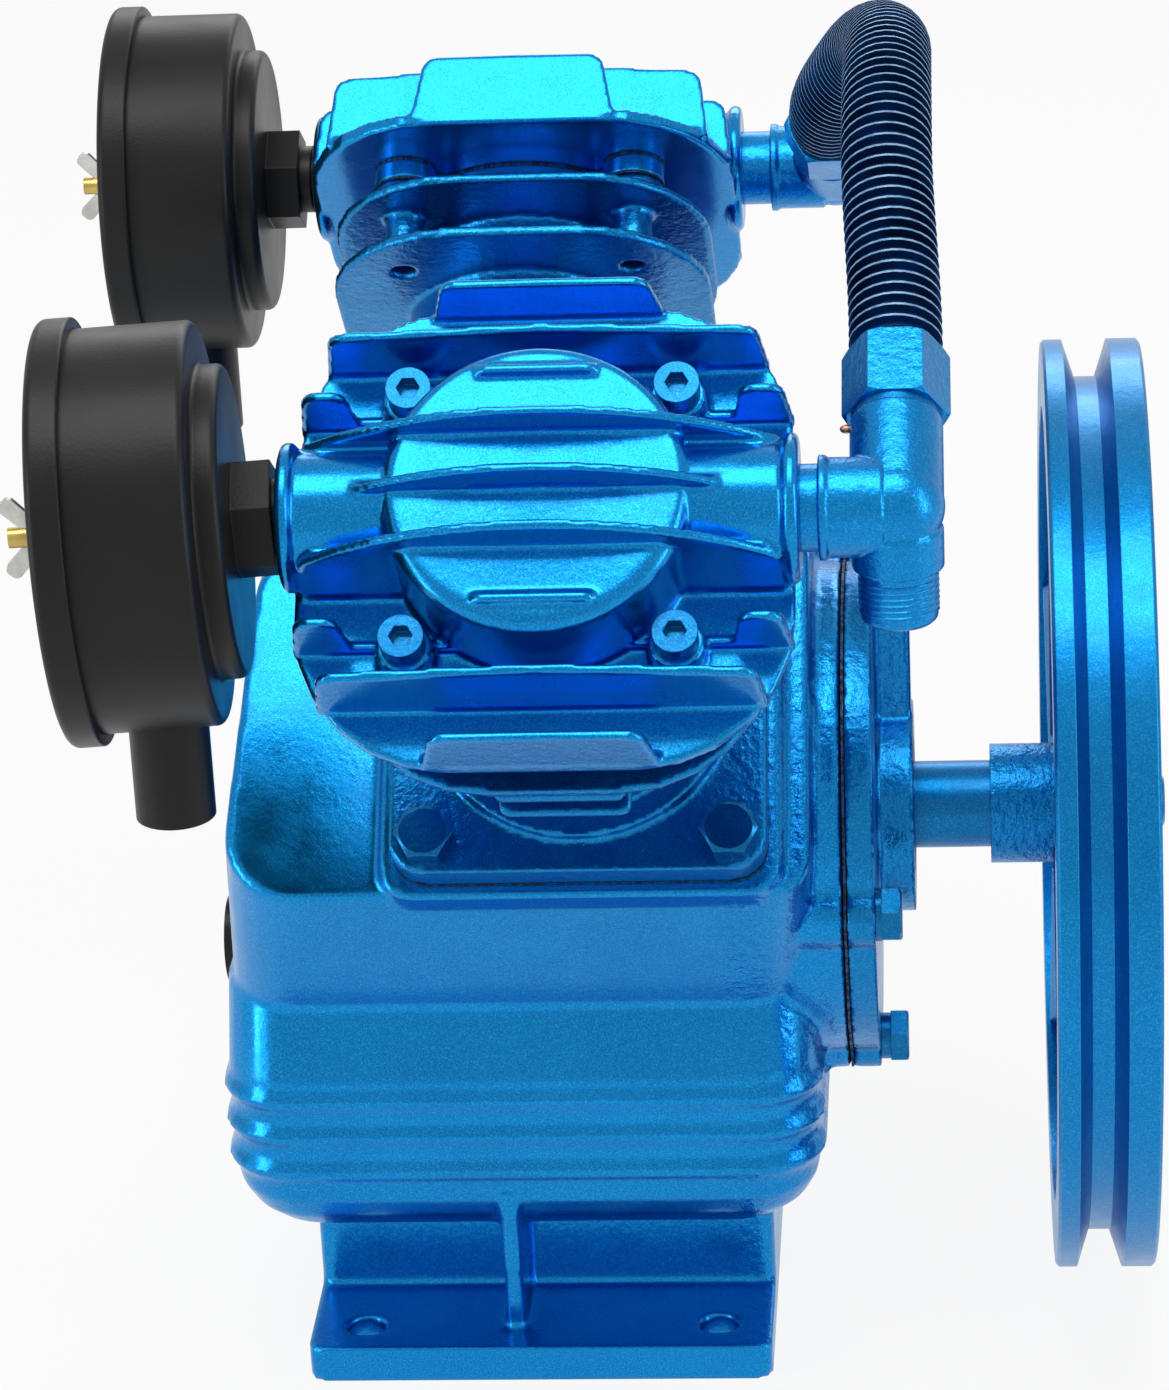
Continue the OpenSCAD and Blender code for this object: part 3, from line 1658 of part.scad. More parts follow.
module wing_nut(side) {
  hub_h = stud_d * 1.2;
  wing_t = stud_d / 3;
  color([0.85, 0.85, 0.87])
    at_filter(side)
      translate([lid_x(side) + lid_len + face_gap, 0, 0])
        difference() {
          union() {
            rod_x(0, hub_h, stud_d * 0.95);
            for (z = [-1, 1])
              scale([1, 1, z])
                translate([0, wing_t / 2, 0])
                  rotate([90, 0, 0])
                    linear_extrude(wing_t)
                      polygon(rounded([[hub_h * 0.1, 0], [hub_h * 0.95, 0], [hub_h * 2.25, 1.55 * stud_d],
                        [hub_h * 1.7, 2.15 * stud_d]], [0, 0, stud_d / 3, stud_d / 3]));
          }
          rod_x(-over, 2 * hub_h, stud_d / 2 + fit);
        }
}

module front_wing_nut() {
  wing_nut(front);
}

module rear_wing_nut() {
  wing_nut(rear);
}

crankcase();
sight_glass();
sight_glass_ring();
oil_breather();
cover_gasket();
end_cover();
cover_bolts();
oil_plug();
oil_seal();
bearing_outer_rings();
bearing_balls();
bearing_inner_rings();
crankshaft();
gallery_plug();
shaft_key();
belt_wheel();
wheel_washer();
wheel_bolt();
base_gaskets();
front_cylinder();
rear_cylinder();
flange_bolts();
head_gaskets();
front_valve_plate();
rear_valve_plate();
valve_reeds();
front_head();
rear_head();
head_screws();
front_piston();
rear_piston();
front_rings();
rear_rings();
front_pin_stubs();
rear_pin_stubs();
front_rod();
rear_rod();
front_rod_cap();
rear_rod_cap();
front_rod_bolts();
rear_rod_bolts();
discharge_nipples();
discharge_tee();
discharge_elbow();
tube_nuts();
tube_ferrules();
finned_tube();
front_filter_can();
rear_filter_can();
front_filter_lid();
rear_filter_lid();
filter_elements();
filter_studs();
front_wing_nut();
rear_wing_nut();
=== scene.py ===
# %% [markdown]
# # The looks of a two-cylinder air compressor pump head
#
# The imported solids come in first, as a fixed frame in metres. Every piece that is added
# below rides on one of its bodies, so the pump still turns as one machine.

# %% Load the frame
import json
import math

import bpy
from mathutils import Euler, Matrix, Vector


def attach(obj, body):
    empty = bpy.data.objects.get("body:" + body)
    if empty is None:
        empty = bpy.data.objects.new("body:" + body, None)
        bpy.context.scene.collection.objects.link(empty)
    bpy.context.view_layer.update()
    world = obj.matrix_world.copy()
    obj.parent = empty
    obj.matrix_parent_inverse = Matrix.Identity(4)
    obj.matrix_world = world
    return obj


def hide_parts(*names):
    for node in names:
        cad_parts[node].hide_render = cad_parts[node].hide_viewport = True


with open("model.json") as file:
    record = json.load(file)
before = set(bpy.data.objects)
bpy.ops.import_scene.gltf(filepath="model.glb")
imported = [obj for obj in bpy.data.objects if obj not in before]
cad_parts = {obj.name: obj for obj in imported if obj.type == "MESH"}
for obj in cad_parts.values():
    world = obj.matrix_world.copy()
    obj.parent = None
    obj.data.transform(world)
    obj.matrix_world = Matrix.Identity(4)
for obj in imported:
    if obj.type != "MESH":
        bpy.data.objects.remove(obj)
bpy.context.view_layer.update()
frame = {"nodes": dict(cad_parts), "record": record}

# %% [markdown]
# The record says which finish each solid wears and which body it rides on. Two small
# tables made from it answer both questions for every later cell. Sizes are written in
# millimetres, as on a drawing, and MM turns them into Blender's metres.

# %% Tables of finish and body
SLOT_OF = {row["node"]: row["material_slot"] for row in frame["record"]["subparts"]}
BODY_OF = {
    node: body
    for body, members in frame["record"]["behaviour"]["bodies"].items()
    for node in members
}
MM = 0.001
print("finishes in use:", len(set(SLOT_OF.values())))

# %% [markdown]
# A material is a chain of nodes. Most finishes here need the same few links: a noise that
# reads Object coordinates, a soft step between two values, a mix of two colours, a bump.
# The chain could be wired socket by socket, but that hides what it says. A small class
# turns each link into one short call, so a finish reads like a recipe.
#
# Three links deserve a word. A noise seldom leaves the range from 0.3 to 0.7, so a step
# over all of that range gives soft clouds, and a narrower one gives firmer patches. The
# Bevel node gives a normal that bends over every edge, which draws a soft highlight there
# without one extra face. Where that normal leans away from the face's own, an edge is
# near, so the dot product of the two finds the edges, where a paler colour is painted:
# partly wear, partly a painted highlight.

# %% A short way to write node chains
SOFT_STEP = (0.3, 0.7)
FIRM_STEP = (0.35, 0.65)
HARD_STEP = (0.4, 0.6)
BEVEL_SAMPLES = 6
EDGE_FAR = 0.995
EDGE_NEAR = 0.86
MIX_SHARE = 0
MIX_FIRST = 6
MIX_SECOND = 7
MIX_RESULT = 2


class Finish:
    """A new material whose nodes are added one call at a time."""

    def __init__(self, name):
        self.material = bpy.data.materials.new(name)
        self.material.use_nodes = True
        self.tree = self.material.node_tree
        self.shader = self.tree.nodes["Principled BSDF"]
        self.place = self.add("ShaderNodeTexCoord").outputs["Object"]

    def add(self, kind, **sockets):
        """A node with these sockets filled. An underscore stands for a space."""
        node = self.tree.nodes.new(kind)
        for key, value in sockets.items():
            self.link(value, node.inputs[key.replace("_", " ")])
        return node

    def link(self, value, socket):
        """Join another node's output to the socket, or set a plain value on it."""
        if isinstance(value, bpy.types.NodeSocket):
            self.tree.links.new(value, socket)
        else:
            socket.default_value = value

    def noise(self, size, detail=2.0, rough=0.5, place=None):
        """A noise whose patches are about size metres across."""
        made = self.add(
            "ShaderNodeTexNoise", Vector=place or self.place,
            Scale=1.0 / size, Detail=detail, Roughness=rough,
        )
        return made.outputs["Fac"]

    def spread(self, value, low, high, to_low=0.0, to_high=1.0):
        """The value, stretched so that low..high becomes to_low..to_high."""
        made = self.add("ShaderNodeMapRange", Value=value)
        for name, number in (("From Min", low), ("From Max", high),
                             ("To Min", to_low), ("To Max", to_high)):
            made.inputs[name].default_value = number
        return made.outputs["Result"]

    def mix(self, share, first, second):
        """A colour between first and second. This node's colour sockets go by number."""
        made = self.add("ShaderNodeMix")
        made.data_type = "RGBA"
        self.link(share, made.inputs[MIX_SHARE])
        self.link(first, made.inputs[MIX_FIRST])
        self.link(second, made.inputs[MIX_SECOND])
        return made.outputs[MIX_RESULT]

    def maths(self, kind, first, second):
        """One step of arithmetic on two values, such as ADD or MULTIPLY."""
        made = self.add("ShaderNodeMath")
        made.operation = kind
        self.link(first, made.inputs[0])
        self.link(second, made.inputs[1])
        return made.outputs[0]

    def bump(self, height, depth, normal=None):
        """Relief of about depth metres. The normal it starts from is optional."""
        made = self.add("ShaderNodeBump", Height=height, Distance=depth)
        if normal is not None:
            self.link(normal, made.inputs["Normal"])
        return made.outputs["Normal"]

    def soft_edges(self, radius):
        """A normal that turns smoothly over every edge, as a moulded edge does."""
        made = self.add("ShaderNodeBevel", Radius=radius)
        made.samples = BEVEL_SAMPLES
        return made.outputs["Normal"]

    def edge_mask(self, soft):
        """1 where an edge is near, 0 on open faces."""
        plain = self.add("ShaderNodeNewGeometry").outputs["Normal"]
        made = self.add("ShaderNodeVectorMath")
        made.operation = "DOT_PRODUCT"
        self.link(soft, made.inputs[0])
        self.link(plain, made.inputs[1])
        return self.spread(made.outputs["Value"], EDGE_FAR, EDGE_NEAR)

    def set(self, **sockets):
        """Fill the shader's own sockets, and give back the finished material."""
        for key, value in sockets.items():
            self.link(value, self.shader.inputs[key.replace("_", " ")])
        return self.material


def grey(value):
    return (value, value, value, 1.0)


def rgb(red, green, blue):
    return (red, green, blue, 1.0)


print("node helper ready")

# %% [markdown]
# The pump is sprayed all over with one metallic blue enamel, bolts and shaft included.
# Metal flakes lie in a blue lacquer. Seen close they are fine light and dark grains; seen
# from afar they make a colour that is bright where the light is and deep navy where it
# isn't. A plain blue with a gloss would stay blue in the shade, so the shader is metallic
# with a thin clear coat, and a fine noise draws the grains.
#
# The casting below shows through as lumps in the bump. Some of it was machined smooth and
# some was left as it came from the sand, so a finish may name a zone, which says where the
# surface is rough: towards the belt wheel on the crankcase, and at the hub on the wheel.

# %% Blue enamel
ENAMEL_DEEP = rgb(0.001, 0.19, 0.55)
ENAMEL_MID = rgb(0.001, 0.27, 0.69)
ENAMEL_FLAKE = rgb(0.03, 0.50, 0.90)
ENAMEL_DARK_FLAKE = rgb(0.0005, 0.09, 0.34)
# This paler edge blue is partly worn enamel and partly a painted highlight on the edges.
ENAMEL_EDGE_WEAR_AND_HIGHLIGHT = rgb(0.06, 0.52, 0.84)
FLAKE_SIZE = 0.55 * MM
FLAKE_RELIEF = 0.012 * MM
PEEL_SIZE = 2.0 * MM
LUMP_SIZE = 3.2 * MM
GLOSS_PATCH = 12 * MM
COLOUR_PATCH = 35 * MM
LEAST_MID_SHARE = 0.75
LIGHT_FLAKES = (0.54, 0.70)
LIGHT_FLAKE_SHARE = 0.45
DARK_FLAKES = (0.46, 0.34)
DARK_FLAKE_SHARE = 0.30
EDGE_WEAR_AND_HIGHLIGHT_SHARE = 0.4
LEAST_LUMP_SHARE = 0.12
ENAMEL_SHINIER = 0.04
ENAMEL_DULLER = 0.06
SHAFT_HEIGHT = 160 * MM
FLANGE_STARTS = 60 * MM
FLANGE_FULL = 68 * MM
HUB_FULL = 38 * MM
HUB_ENDS = 44 * MM


def enamel(name, tone=1.0, lump=0.05, peel=0.04, rough=0.30, edge=0.9, zone=None):
    """Blue enamel. Lump and peel are relief depths in mm, edge is its soft radius in mm.
    A tone below 1 makes it deeper. A zone gives 1 where the casting is rough, else 0."""
    f = Finish(name)
    soft = f.soft_edges(edge * MM)
    flake = f.noise(FLAKE_SIZE, detail=1.0)
    drift = f.noise(COLOUR_PATCH, detail=2.0)
    base = f.mix(f.spread(drift, *FIRM_STEP, LEAST_MID_SHARE), ENAMEL_DEEP, ENAMEL_MID)
    light = f.spread(flake, *LIGHT_FLAKES, 0.0, LIGHT_FLAKE_SHARE)
    dark = f.spread(flake, *DARK_FLAKES, 0.0, DARK_FLAKE_SHARE)
    grain = f.mix(dark, f.mix(light, base, ENAMEL_FLAKE), ENAMEL_DARK_FLAKE)
    # Edges are painted paler: partly worn enamel, partly a painted highlight.
    edges = f.maths("MULTIPLY", f.edge_mask(soft), EDGE_WEAR_AND_HIGHLIGHT_SHARE)
    worn_and_highlit = f.mix(edges, grain, ENAMEL_EDGE_WEAR_AND_HIGHLIGHT)
    toned = f.add("ShaderNodeHueSaturation", Color=worn_and_highlit, Value=tone)
    height = f.noise(LUMP_SIZE, detail=3.0, rough=0.6)
    if zone is not None:
        height = f.maths("MULTIPLY", height, f.maths("MAXIMUM", zone(f), LEAST_LUMP_SHARE))
    lumps = f.bump(height, lump * MM, soft)
    peeled = f.bump(f.noise(PEEL_SIZE, detail=2.0), peel * MM, lumps)
    sparkle = f.bump(flake, FLAKE_RELIEF, peeled)
    gloss = f.spread(f.noise(GLOSS_PATCH, detail=3.0), *SOFT_STEP,
                     rough - ENAMEL_SHINIER, rough + ENAMEL_DULLER)
    return f.set(
        Base_Color=toned.outputs["Color"], Metallic=0.9, Roughness=gloss,
        Coat_Weight=0.16, Coat_Roughness=0.07, Coat_IOR=1.45,
        Normal=sparkle, Coat_Normal=peeled,
    )


def towards_wheel(f):
    """The rough casting round the cover's flange, towards the belt wheel along X."""
    parts = f.add("ShaderNodeSeparateXYZ", Vector=f.place)
    return f.spread(parts.outputs["X"], FLANGE_STARTS, FLANGE_FULL)


def near_shaft(f):
    """The rough hub of the belt wheel, round the shaft's axis."""
    parts = f.add("ShaderNodeSeparateXYZ", Vector=f.place)
    up = f.maths("SUBTRACT", parts.outputs["Z"], SHAFT_HEIGHT)
    across = f.maths("POWER", parts.outputs["Y"], 2.0)
    squared = f.maths("ADD", across, f.maths("POWER", up, 2.0))
    return f.spread(f.maths("POWER", squared, 0.5), HUB_ENDS, HUB_FULL)


FINISHES = {
    "cast_blue": enamel("cast_blue_enamel", lump=0.42, rough=0.24, edge=1.1,
                        zone=towards_wheel),
    "head_blue": enamel("head_blue_enamel", lump=0.05, rough=0.23, edge=0.7),
    "wheel_blue": enamel("wheel_blue_enamel", tone=0.9, lump=0.6, edge=0.6,
                         zone=near_shaft),
    "shaft_blue": enamel("shaft_blue_enamel", tone=0.72, lump=0.02, rough=0.34, edge=0.4),
    "bolt_blue": enamel("bolt_blue_enamel", tone=0.6, lump=0.04, rough=0.26, edge=0.4),
    "fitting_blue": enamel("fitting_blue_enamel", lump=0.30, peel=0.08, rough=0.30,
                           edge=0.5),
}
rough_cast = enamel("rough_cast_enamel", tone=0.85, lump=0.38, peel=0.08, rough=0.27)
print("enamels:", ", ".join(sorted(FINISHES)), "and", rough_cast.name)

# %% [markdown]
# The finned tube looks dipped, not sprayed: a thin navy lacquer, which the shade between
# the fins turns almost black. The fins' sharp edges catch the light in fine pale rings,
# and the rim's pale colour is a painted highlight that stands for them. The Bevel node
# could find those edges, but a fin is hardly thicker than the radius it needs, so the rim
# gets a finish of its own.

# %% Navy lacquer of the tube, painted highlight on the fin rims
TUBE_NAVY = rgb(0.002, 0.030, 0.115)
TUBE_BLUE = rgb(0.006, 0.085, 0.26)
# The fin rims' two pale blues are a painted highlight for the light that the sharp edges
# catch.
FIN_PAINTED_SHEEN = rgb(0.12, 0.30, 0.55)
FIN_PAINTED_GLINT = rgb(0.30, 0.50, 0.74)
NAVY_PATCH = 14 * MM
NAVY_GRAIN = 2 * MM
NAVY_RELIEF = 0.03 * MM
GLINT_PATCH_SIZE = 3 * MM
GLINT_STEP = (0.35, 0.6)
RIM_GRAIN = 1.5 * MM
RIM_RELIEF = 0.02 * MM

navy = Finish("navy_lacquer")
navy_patch = navy.noise(NAVY_PATCH, detail=3.0)
FINISHES["tube_navy"] = navy.set(
    Base_Color=navy.mix(navy.spread(navy_patch, *FIRM_STEP), TUBE_NAVY, TUBE_BLUE),
    Metallic=0.7, Roughness=0.40, Coat_Weight=0.05, Coat_Roughness=0.3,
    Normal=navy.bump(navy.noise(NAVY_GRAIN), NAVY_RELIEF),
)

# The fin rim finish is a painted highlight, in patches of two pale tones.
fin_glint = Finish("fin_rim_painted_highlight")
glint_patches = fin_glint.spread(fin_glint.noise(GLINT_PATCH_SIZE, detail=3.0), *GLINT_STEP)
fin_highlight_finish = fin_glint.set(
    Base_Color=fin_glint.mix(glint_patches, FIN_PAINTED_SHEEN, FIN_PAINTED_GLINT),
    Metallic=0.25, Roughness=0.38,
    Normal=fin_glint.bump(fin_glint.noise(RIM_GRAIN), RIM_RELIEF),
)
print("tube finishes:", FINISHES["tube_navy"].name, "and", fin_highlight_finish.name)

# %% [markdown]
# The air filters are pressed steel with a satin black powder coat: nearly black, with a
# wide soft highlight and a fine orange-peel skin. It has no metal look of its own, so
# metallic stays at zero and the roughness does the work. A lower specular level keeps the
# black from turning grey under the big lamp. The same recipe, duller or smoother, gives
# the black fittings and the rubber of the oil seal.
#
# The gaskets were painted over with the rest, so their dark fibre is speckled with blue:
# one noise decides colour and roughness together, which keeps paint and fibre in step.

# %% Black powder coat and gasket fibre
GASKET_FIBRE = rgb(0.012, 0.016, 0.024)
GASKET_SPRAY = rgb(0.002, 0.09, 0.26)
GASKET_SPECKLE = 1.6 * MM
GASKET_RELIEF = 0.15 * MM
SPRAYED_STEP = (0.47, 0.56)
FIBRE_ROUGHNESS = 0.75
SPRAY_ROUGHNESS = 0.40
COAT_CLOUD = 30 * MM
COAT_SKIN = 1.1 * MM
CLOUD_DARKER = 0.85
CLOUD_PALER = 1.15
# Edges of the coat are painted paler: partly rubbed coat, partly a painted highlight.
RUBBED_AND_HIGHLIGHT_SHARE = 0.35
RUBBED_AND_HIGHLIGHT_PALER = 3.0
COAT_SHINIER = 0.04
COAT_DULLER = 0.05


def powder_coat(name, tone, rough, skin=0.05, edge=0.8):
    """Satin black. Tone is its grey, skin its relief and edge its soft radius in mm."""
    f = Finish(name)
    soft = f.soft_edges(edge * MM)
    cloud = f.noise(COAT_CLOUD, detail=3.0)
    colour = f.mix(f.spread(cloud, *FIRM_STEP), grey(tone * CLOUD_DARKER),
                   grey(tone * CLOUD_PALER))
    # Paler edges: partly rubbed coat, partly a painted highlight.
    edges = f.maths("MULTIPLY", f.edge_mask(soft), RUBBED_AND_HIGHLIGHT_SHARE)
    relief = f.bump(f.noise(COAT_SKIN, detail=2.0), skin * MM, soft)
    return f.set(
        Base_Color=f.mix(edges, colour, grey(tone * RUBBED_AND_HIGHLIGHT_PALER)),
        Metallic=0.0, Specular_IOR_Level=0.28,
        Roughness=f.spread(cloud, *SOFT_STEP, rough - COAT_SHINIER, rough + COAT_DULLER),
        Normal=relief,
    )


FINISHES["filter_black"] = powder_coat("filter_powder_coat", 0.009, 0.38)
FINISHES["dark_fitting"] = powder_coat("black_oxide", 0.012, 0.36, skin=0.02, edge=0.3)
FINISHES["seal_rubber"] = powder_coat("seal_rubber", 0.012, 0.62, skin=0.03, edge=0.3)

fibre = Finish("gasket_fibre")
speckle = fibre.noise(GASKET_SPECKLE, detail=3.0, rough=0.65)
sprayed = fibre.spread(speckle, *SPRAYED_STEP)
FINISHES["gasket"] = fibre.set(
    Base_Color=fibre.mix(sprayed, GASKET_FIBRE, GASKET_SPRAY),
    Metallic=0.2,
    Roughness=fibre.spread(sprayed, 0.0, 1.0, FIBRE_ROUGHNESS, SPRAY_ROUGHNESS),
    Normal=fibre.bump(speckle, GASKET_RELIEF),
)
print("black finishes done")

# %% [markdown]
# Bare metals are told apart by their colour and by the marks of the tool that made them.
# A turned piece has fine rings round its axis, a die-cast alloy has a dull grain. An
# anisotropic shader would smear the highlight but show no single mark, so a Mapping node
# squeezes a noise along the shaft instead, and its patches become thin rings.

# %% Bare metals
TURNED_ON_SHAFT = (12.0, 1.0, 1.0)
UNTURNED = (1.0, 1.0, 1.0)
STAIN_SIZE = 8 * MM
STAINED = (0.35, 0.7)
DULL_SHARE = 0.72
METAL_EDGE = 0.25 * MM
METAL_SHINIER = 0.06
METAL_DULLER = 0.08


def metal(name, colour, rough, squeeze=UNTURNED, depth=0.015, grain=1.2):
    """Bare metal. Depth and grain are the tool marks' relief and size in mm."""
    f = Finish(name)
    drawn = f.add("ShaderNodeMapping", Vector=f.place)
    drawn.inputs["Scale"].default_value = squeeze
    lines = f.noise(grain * MM, detail=3.0, place=drawn.outputs["Vector"])
    dull = rgb(*(part * DULL_SHARE for part in colour[:3]))
    stain = f.spread(f.noise(STAIN_SIZE, detail=4.0), *STAINED)
    return f.set(
        Base_Color=f.mix(stain, colour, dull), Metallic=1.0,
        Roughness=f.spread(lines, *SOFT_STEP, rough - METAL_SHINIER, rough + METAL_DULLER),
        Normal=f.bump(lines, depth * MM, f.soft_edges(METAL_EDGE)),
    )


FINISHES["bearing_steel"] = metal("bearing_steel", rgb(0.58, 0.59, 0.60), 0.20)
FINISHES["plain_steel"] = metal("plain_steel", rgb(0.46, 0.47, 0.48), 0.30, TURNED_ON_SHAFT)
FINISHES["ring_iron"] = metal("ring_iron", rgb(0.22, 0.22, 0.23), 0.38)
FINISHES["piston_alloy"] = metal("piston_alloy", rgb(0.66, 0.66, 0.67), 0.34)
FINISHES["rod_alloy"] = metal("rod_alloy", rgb(0.54, 0.54, 0.55), 0.48, depth=0.08, grain=3.0)
FINISHES["copper_ring"] = metal("copper_ring", rgb(0.80, 0.34, 0.17), 0.32)
FINISHES["brass"] = metal("brass", rgb(0.70, 0.50, 0.16), 0.27, TURNED_ON_SHAFT)
FINISHES["wing_white"] = metal("wing_nickel", rgb(0.80, 0.80, 0.77), 0.40, depth=0.05)
print("metals done")

# %% [markdown]
# Two finishes are neither paint nor metal. The filter's pleated paper is a dry fibre, so
# it is rough all over and a fine noise tints it. The oil level glass has to show what is
# behind it, so it transmits light; an alpha below one would only fade it, with no bend of
# the light at its face.

# %% Paper and glass
PAPER_DARK = rgb(0.62, 0.52, 0.33)
PAPER_PALE = rgb(0.78, 0.70, 0.50)
GLASS_GREEN = rgb(0.84, 0.88, 0.86)
GLASS_CLEAR = rgb(0.92, 0.95, 0.94)
PULP_SIZE = 0.8 * MM
PULP_RELIEF = 0.08 * MM
TINT_SIZE = 20 * MM
RIPPLE_SIZE = 6 * MM
RIPPLE_RELIEF = 0.01 * MM

paper = Finish("filter_paper")
pulp = paper.noise(PULP_SIZE, detail=4.0, rough=0.7)
FINISHES["filter_paper"] = paper.set(
    Base_Color=paper.mix(paper.spread(pulp, *SOFT_STEP), PAPER_DARK, PAPER_PALE),
    Roughness=0.88, Normal=paper.bump(pulp, PULP_RELIEF),
)

glass = Finish("level_glass")
tint = glass.spread(glass.noise(TINT_SIZE), *HARD_STEP)
FINISHES["sight_glass"] = glass.set(
    Base_Color=glass.mix(tint, GLASS_GREEN, GLASS_CLEAR),
    Roughness=0.06, Transmission_Weight=0.85, IOR=1.49,
    Normal=glass.bump(glass.noise(RIPPLE_SIZE), RIPPLE_RELIEF),
)
print("finishes:", len(FINISHES))

# %% [markdown]
# A solid keeps its own mesh, and only its material slots change. The record names one
# finish for each solid. Two kinds differ from it: castings left rough from the sand all
# over, and the copper rings under the tube nuts, which the spray gun covered. A piece made
# below that stands in for a solid asks the same function, so both always match.

# %% Dress the solids
ROUGH_CASTINGS = ["front_cylinder", "rear_cylinder", "end_cover"]
PAINTED_OVER = {"tube_ferrules": "shaft_blue"}


def finish_of(name):
    """The finish that a solid, or the piece that stands for it, wears."""
    if name in ROUGH_CASTINGS:
        return rough_cast
    return FINISHES[PAINTED_OVER.get(name, SLOT_OF[name])]


for name, node in frame["nodes"].items():
    node.data.materials.clear()
    node.data.materials.append(finish_of(name))
print("dressed", len(frame["nodes"]), "solids")

# %% [markdown]
# New pieces are modelled with operators, and an operator acts on everything that is
# selected. So each step first empties the selection. A solid's mesh is a heap of loose
# triangles with stored normals; a copy of it drops those normals and is merged, so that a
# modifier sees one closed skin. When a piece is done, it is told which body to ride, from
# the table above, and which solids it stands for, which are then hidden.

# %% Helpers for new pieces
MERGE_GAP = 0.002 * MM
SMOOTH_ANGLE = math.radians(28)


def only(piece):
    """Select this piece alone and make it the active one."""
    bpy.ops.object.select_all(action="DESELECT")
    piece.select_set(True)
    bpy.context.view_layer.objects.active = piece


def merged_copy(name, suffix):
    """A merged copy of a solid, at the origin, on no body yet."""
    mesh = frame["nodes"][name].data.copy()
    piece = bpy.data.objects.new(name + suffix, mesh)
    bpy.context.collection.objects.link(piece)
    only(piece)
    bpy.ops.mesh.customdata_custom_splitnormals_clear()
    bpy.ops.object.mode_set(mode="EDIT")
    bpy.ops.mesh.select_all(action="SELECT")
    bpy.ops.mesh.remove_doubles(threshold=MERGE_GAP)
    bpy.ops.object.mode_set(mode="OBJECT")
    return piece


def settle(piece, *names):
    """The piece rides where these solids ride and stands for them, which are hidden."""
    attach(piece, BODY_OF[names[0]])
    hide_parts(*names)
    return piece


print("piece helpers ready")

# %% [markdown]
# Sand-cast iron has no sharp edges: every corner is rounded and every inside corner is
# filled. A Bevel modifier could round them one by one, but on a casting with hundreds of
# crossing ribs its bands would run into each other. So a copy of each casting is
# rebuilt from small voxels and then smoothed, which rounds all its edges at once, much as
# the sand does. The voxel is smaller on smaller pieces and thinner ribs. A Decimate step
# then takes out the faces that flat places don't need.

# %% Cast stand-ins
CAST_VOXEL = {
    "crankcase": 1.5 * MM,
    "end_cover": 1.1 * MM,
    "front_cylinder": 1.2 * MM,
    "rear_cylinder": 1.2 * MM,
    "front_head": 0.9 * MM,
    "rear_head": 0.9 * MM,
    "discharge_tee": 0.5 * MM,
    "discharge_elbow": 0.5 * MM,
}
SMOOTH_TURNS = 3
SMOOTH_FACTOR = 0.5
MOST_TRIANGLES = 160000


def cast_copy(name, voxel):
    """A copy of a casting whose edges are rounded all over, standing for the solid."""
    cast = merged_copy(name, "_cast")
    remesh = cast.modifiers.new("voxels", "REMESH")
    remesh.mode = "VOXEL"
    remesh.voxel_size = voxel
    remesh.use_smooth_shade = True
    bpy.ops.object.modifier_apply(modifier="voxels")
    soft = cast.modifiers.new("soft", "SMOOTH")
    soft.factor = SMOOTH_FACTOR
    soft.iterations = SMOOTH_TURNS
    bpy.ops.object.modifier_apply(modifier="soft")
    triangles = 2 * len(cast.data.polygons)
    fewer = cast.modifiers.new("fewer", "DECIMATE")
    fewer.ratio = min(1.0, MOST_TRIANGLES / triangles)
    bpy.ops.object.modifier_apply(modifier="fewer")
    cast.data.materials.clear()
    cast.data.materials.append(finish_of(name))
    print(cast.name, "from", triangles, "to", len(cast.data.polygons), "faces")
    return settle(cast, name)


casts = [cast_copy(name, voxel) for name, voxel in CAST_VOXEL.items()]
print("castings:", len(casts))

# %% [markdown]
# The finned tube leaves the tee, climbs over between the two banks and comes down to the
# elbow. Its route is the one that the solid follows: two straight ends joined by one wide
# bend, with a gentle sideways shift from the tee's plane to the elbow's. Hand-placed curve
# points would come close, but the fins below need the exact point and direction at any
# distance, so the route is a function.

# %% The tube's route
BANK_LEAN = math.radians(45)
PORT_ALONG = 235.6 * MM
FRONT_BANK_X = 21.5 * MM
REAR_BANK_X = -6.5 * MM
TEE_REACH = 100.6 * MM
ELBOW_REACH = 105.2 * MM
RISE = math.radians(32.3)
BEND_R = 115.5 * MM
PORT_OUT = PORT_ALONG * math.sin(BANK_LEAN)
PORT_HEIGHT = SHAFT_HEIGHT + PORT_ALONG * math.cos(BANK_LEAN)
X_FRONT = FRONT_BANK_X + TEE_REACH
X_REAR = REAR_BANK_X + ELBOW_REACH
STRAIGHT = (PORT_OUT - BEND_R * math.sin(RISE)) / math.cos(RISE)
BEND_LEN = BEND_R * 2 * RISE
TUBE_LEN = 2 * STRAIGHT + BEND_LEN
CENTRE_H = PORT_HEIGHT + STRAIGHT * math.sin(RISE) - BEND_R * math.cos(RISE)
FIRST_SHIFT_SHARE = 0.1
FIRST_FROM_SHARE = 0.155
FIRST_OVER_SHARE = 0.2
MAIN_FROM_SHARE = 0.51
MAIN_OVER_SHARE = 0.335


def eased(k):
    """0 up to k = 0 and 1 from k = 1, with a soft start and stop between."""
    c = max(0.0, min(1.0, k))
    return c * c * (3 - 2 * c)


def shift(k):
    """The share of the sideways shift that is done at the share k of the tube."""
    first = eased((k - FIRST_FROM_SHARE) / FIRST_OVER_SHARE)
    main = eased((k - MAIN_FROM_SHARE) / MAIN_OVER_SHARE)
    return FIRST_SHIFT_SHARE * first + (1 - FIRST_SHIFT_SHARE) * main


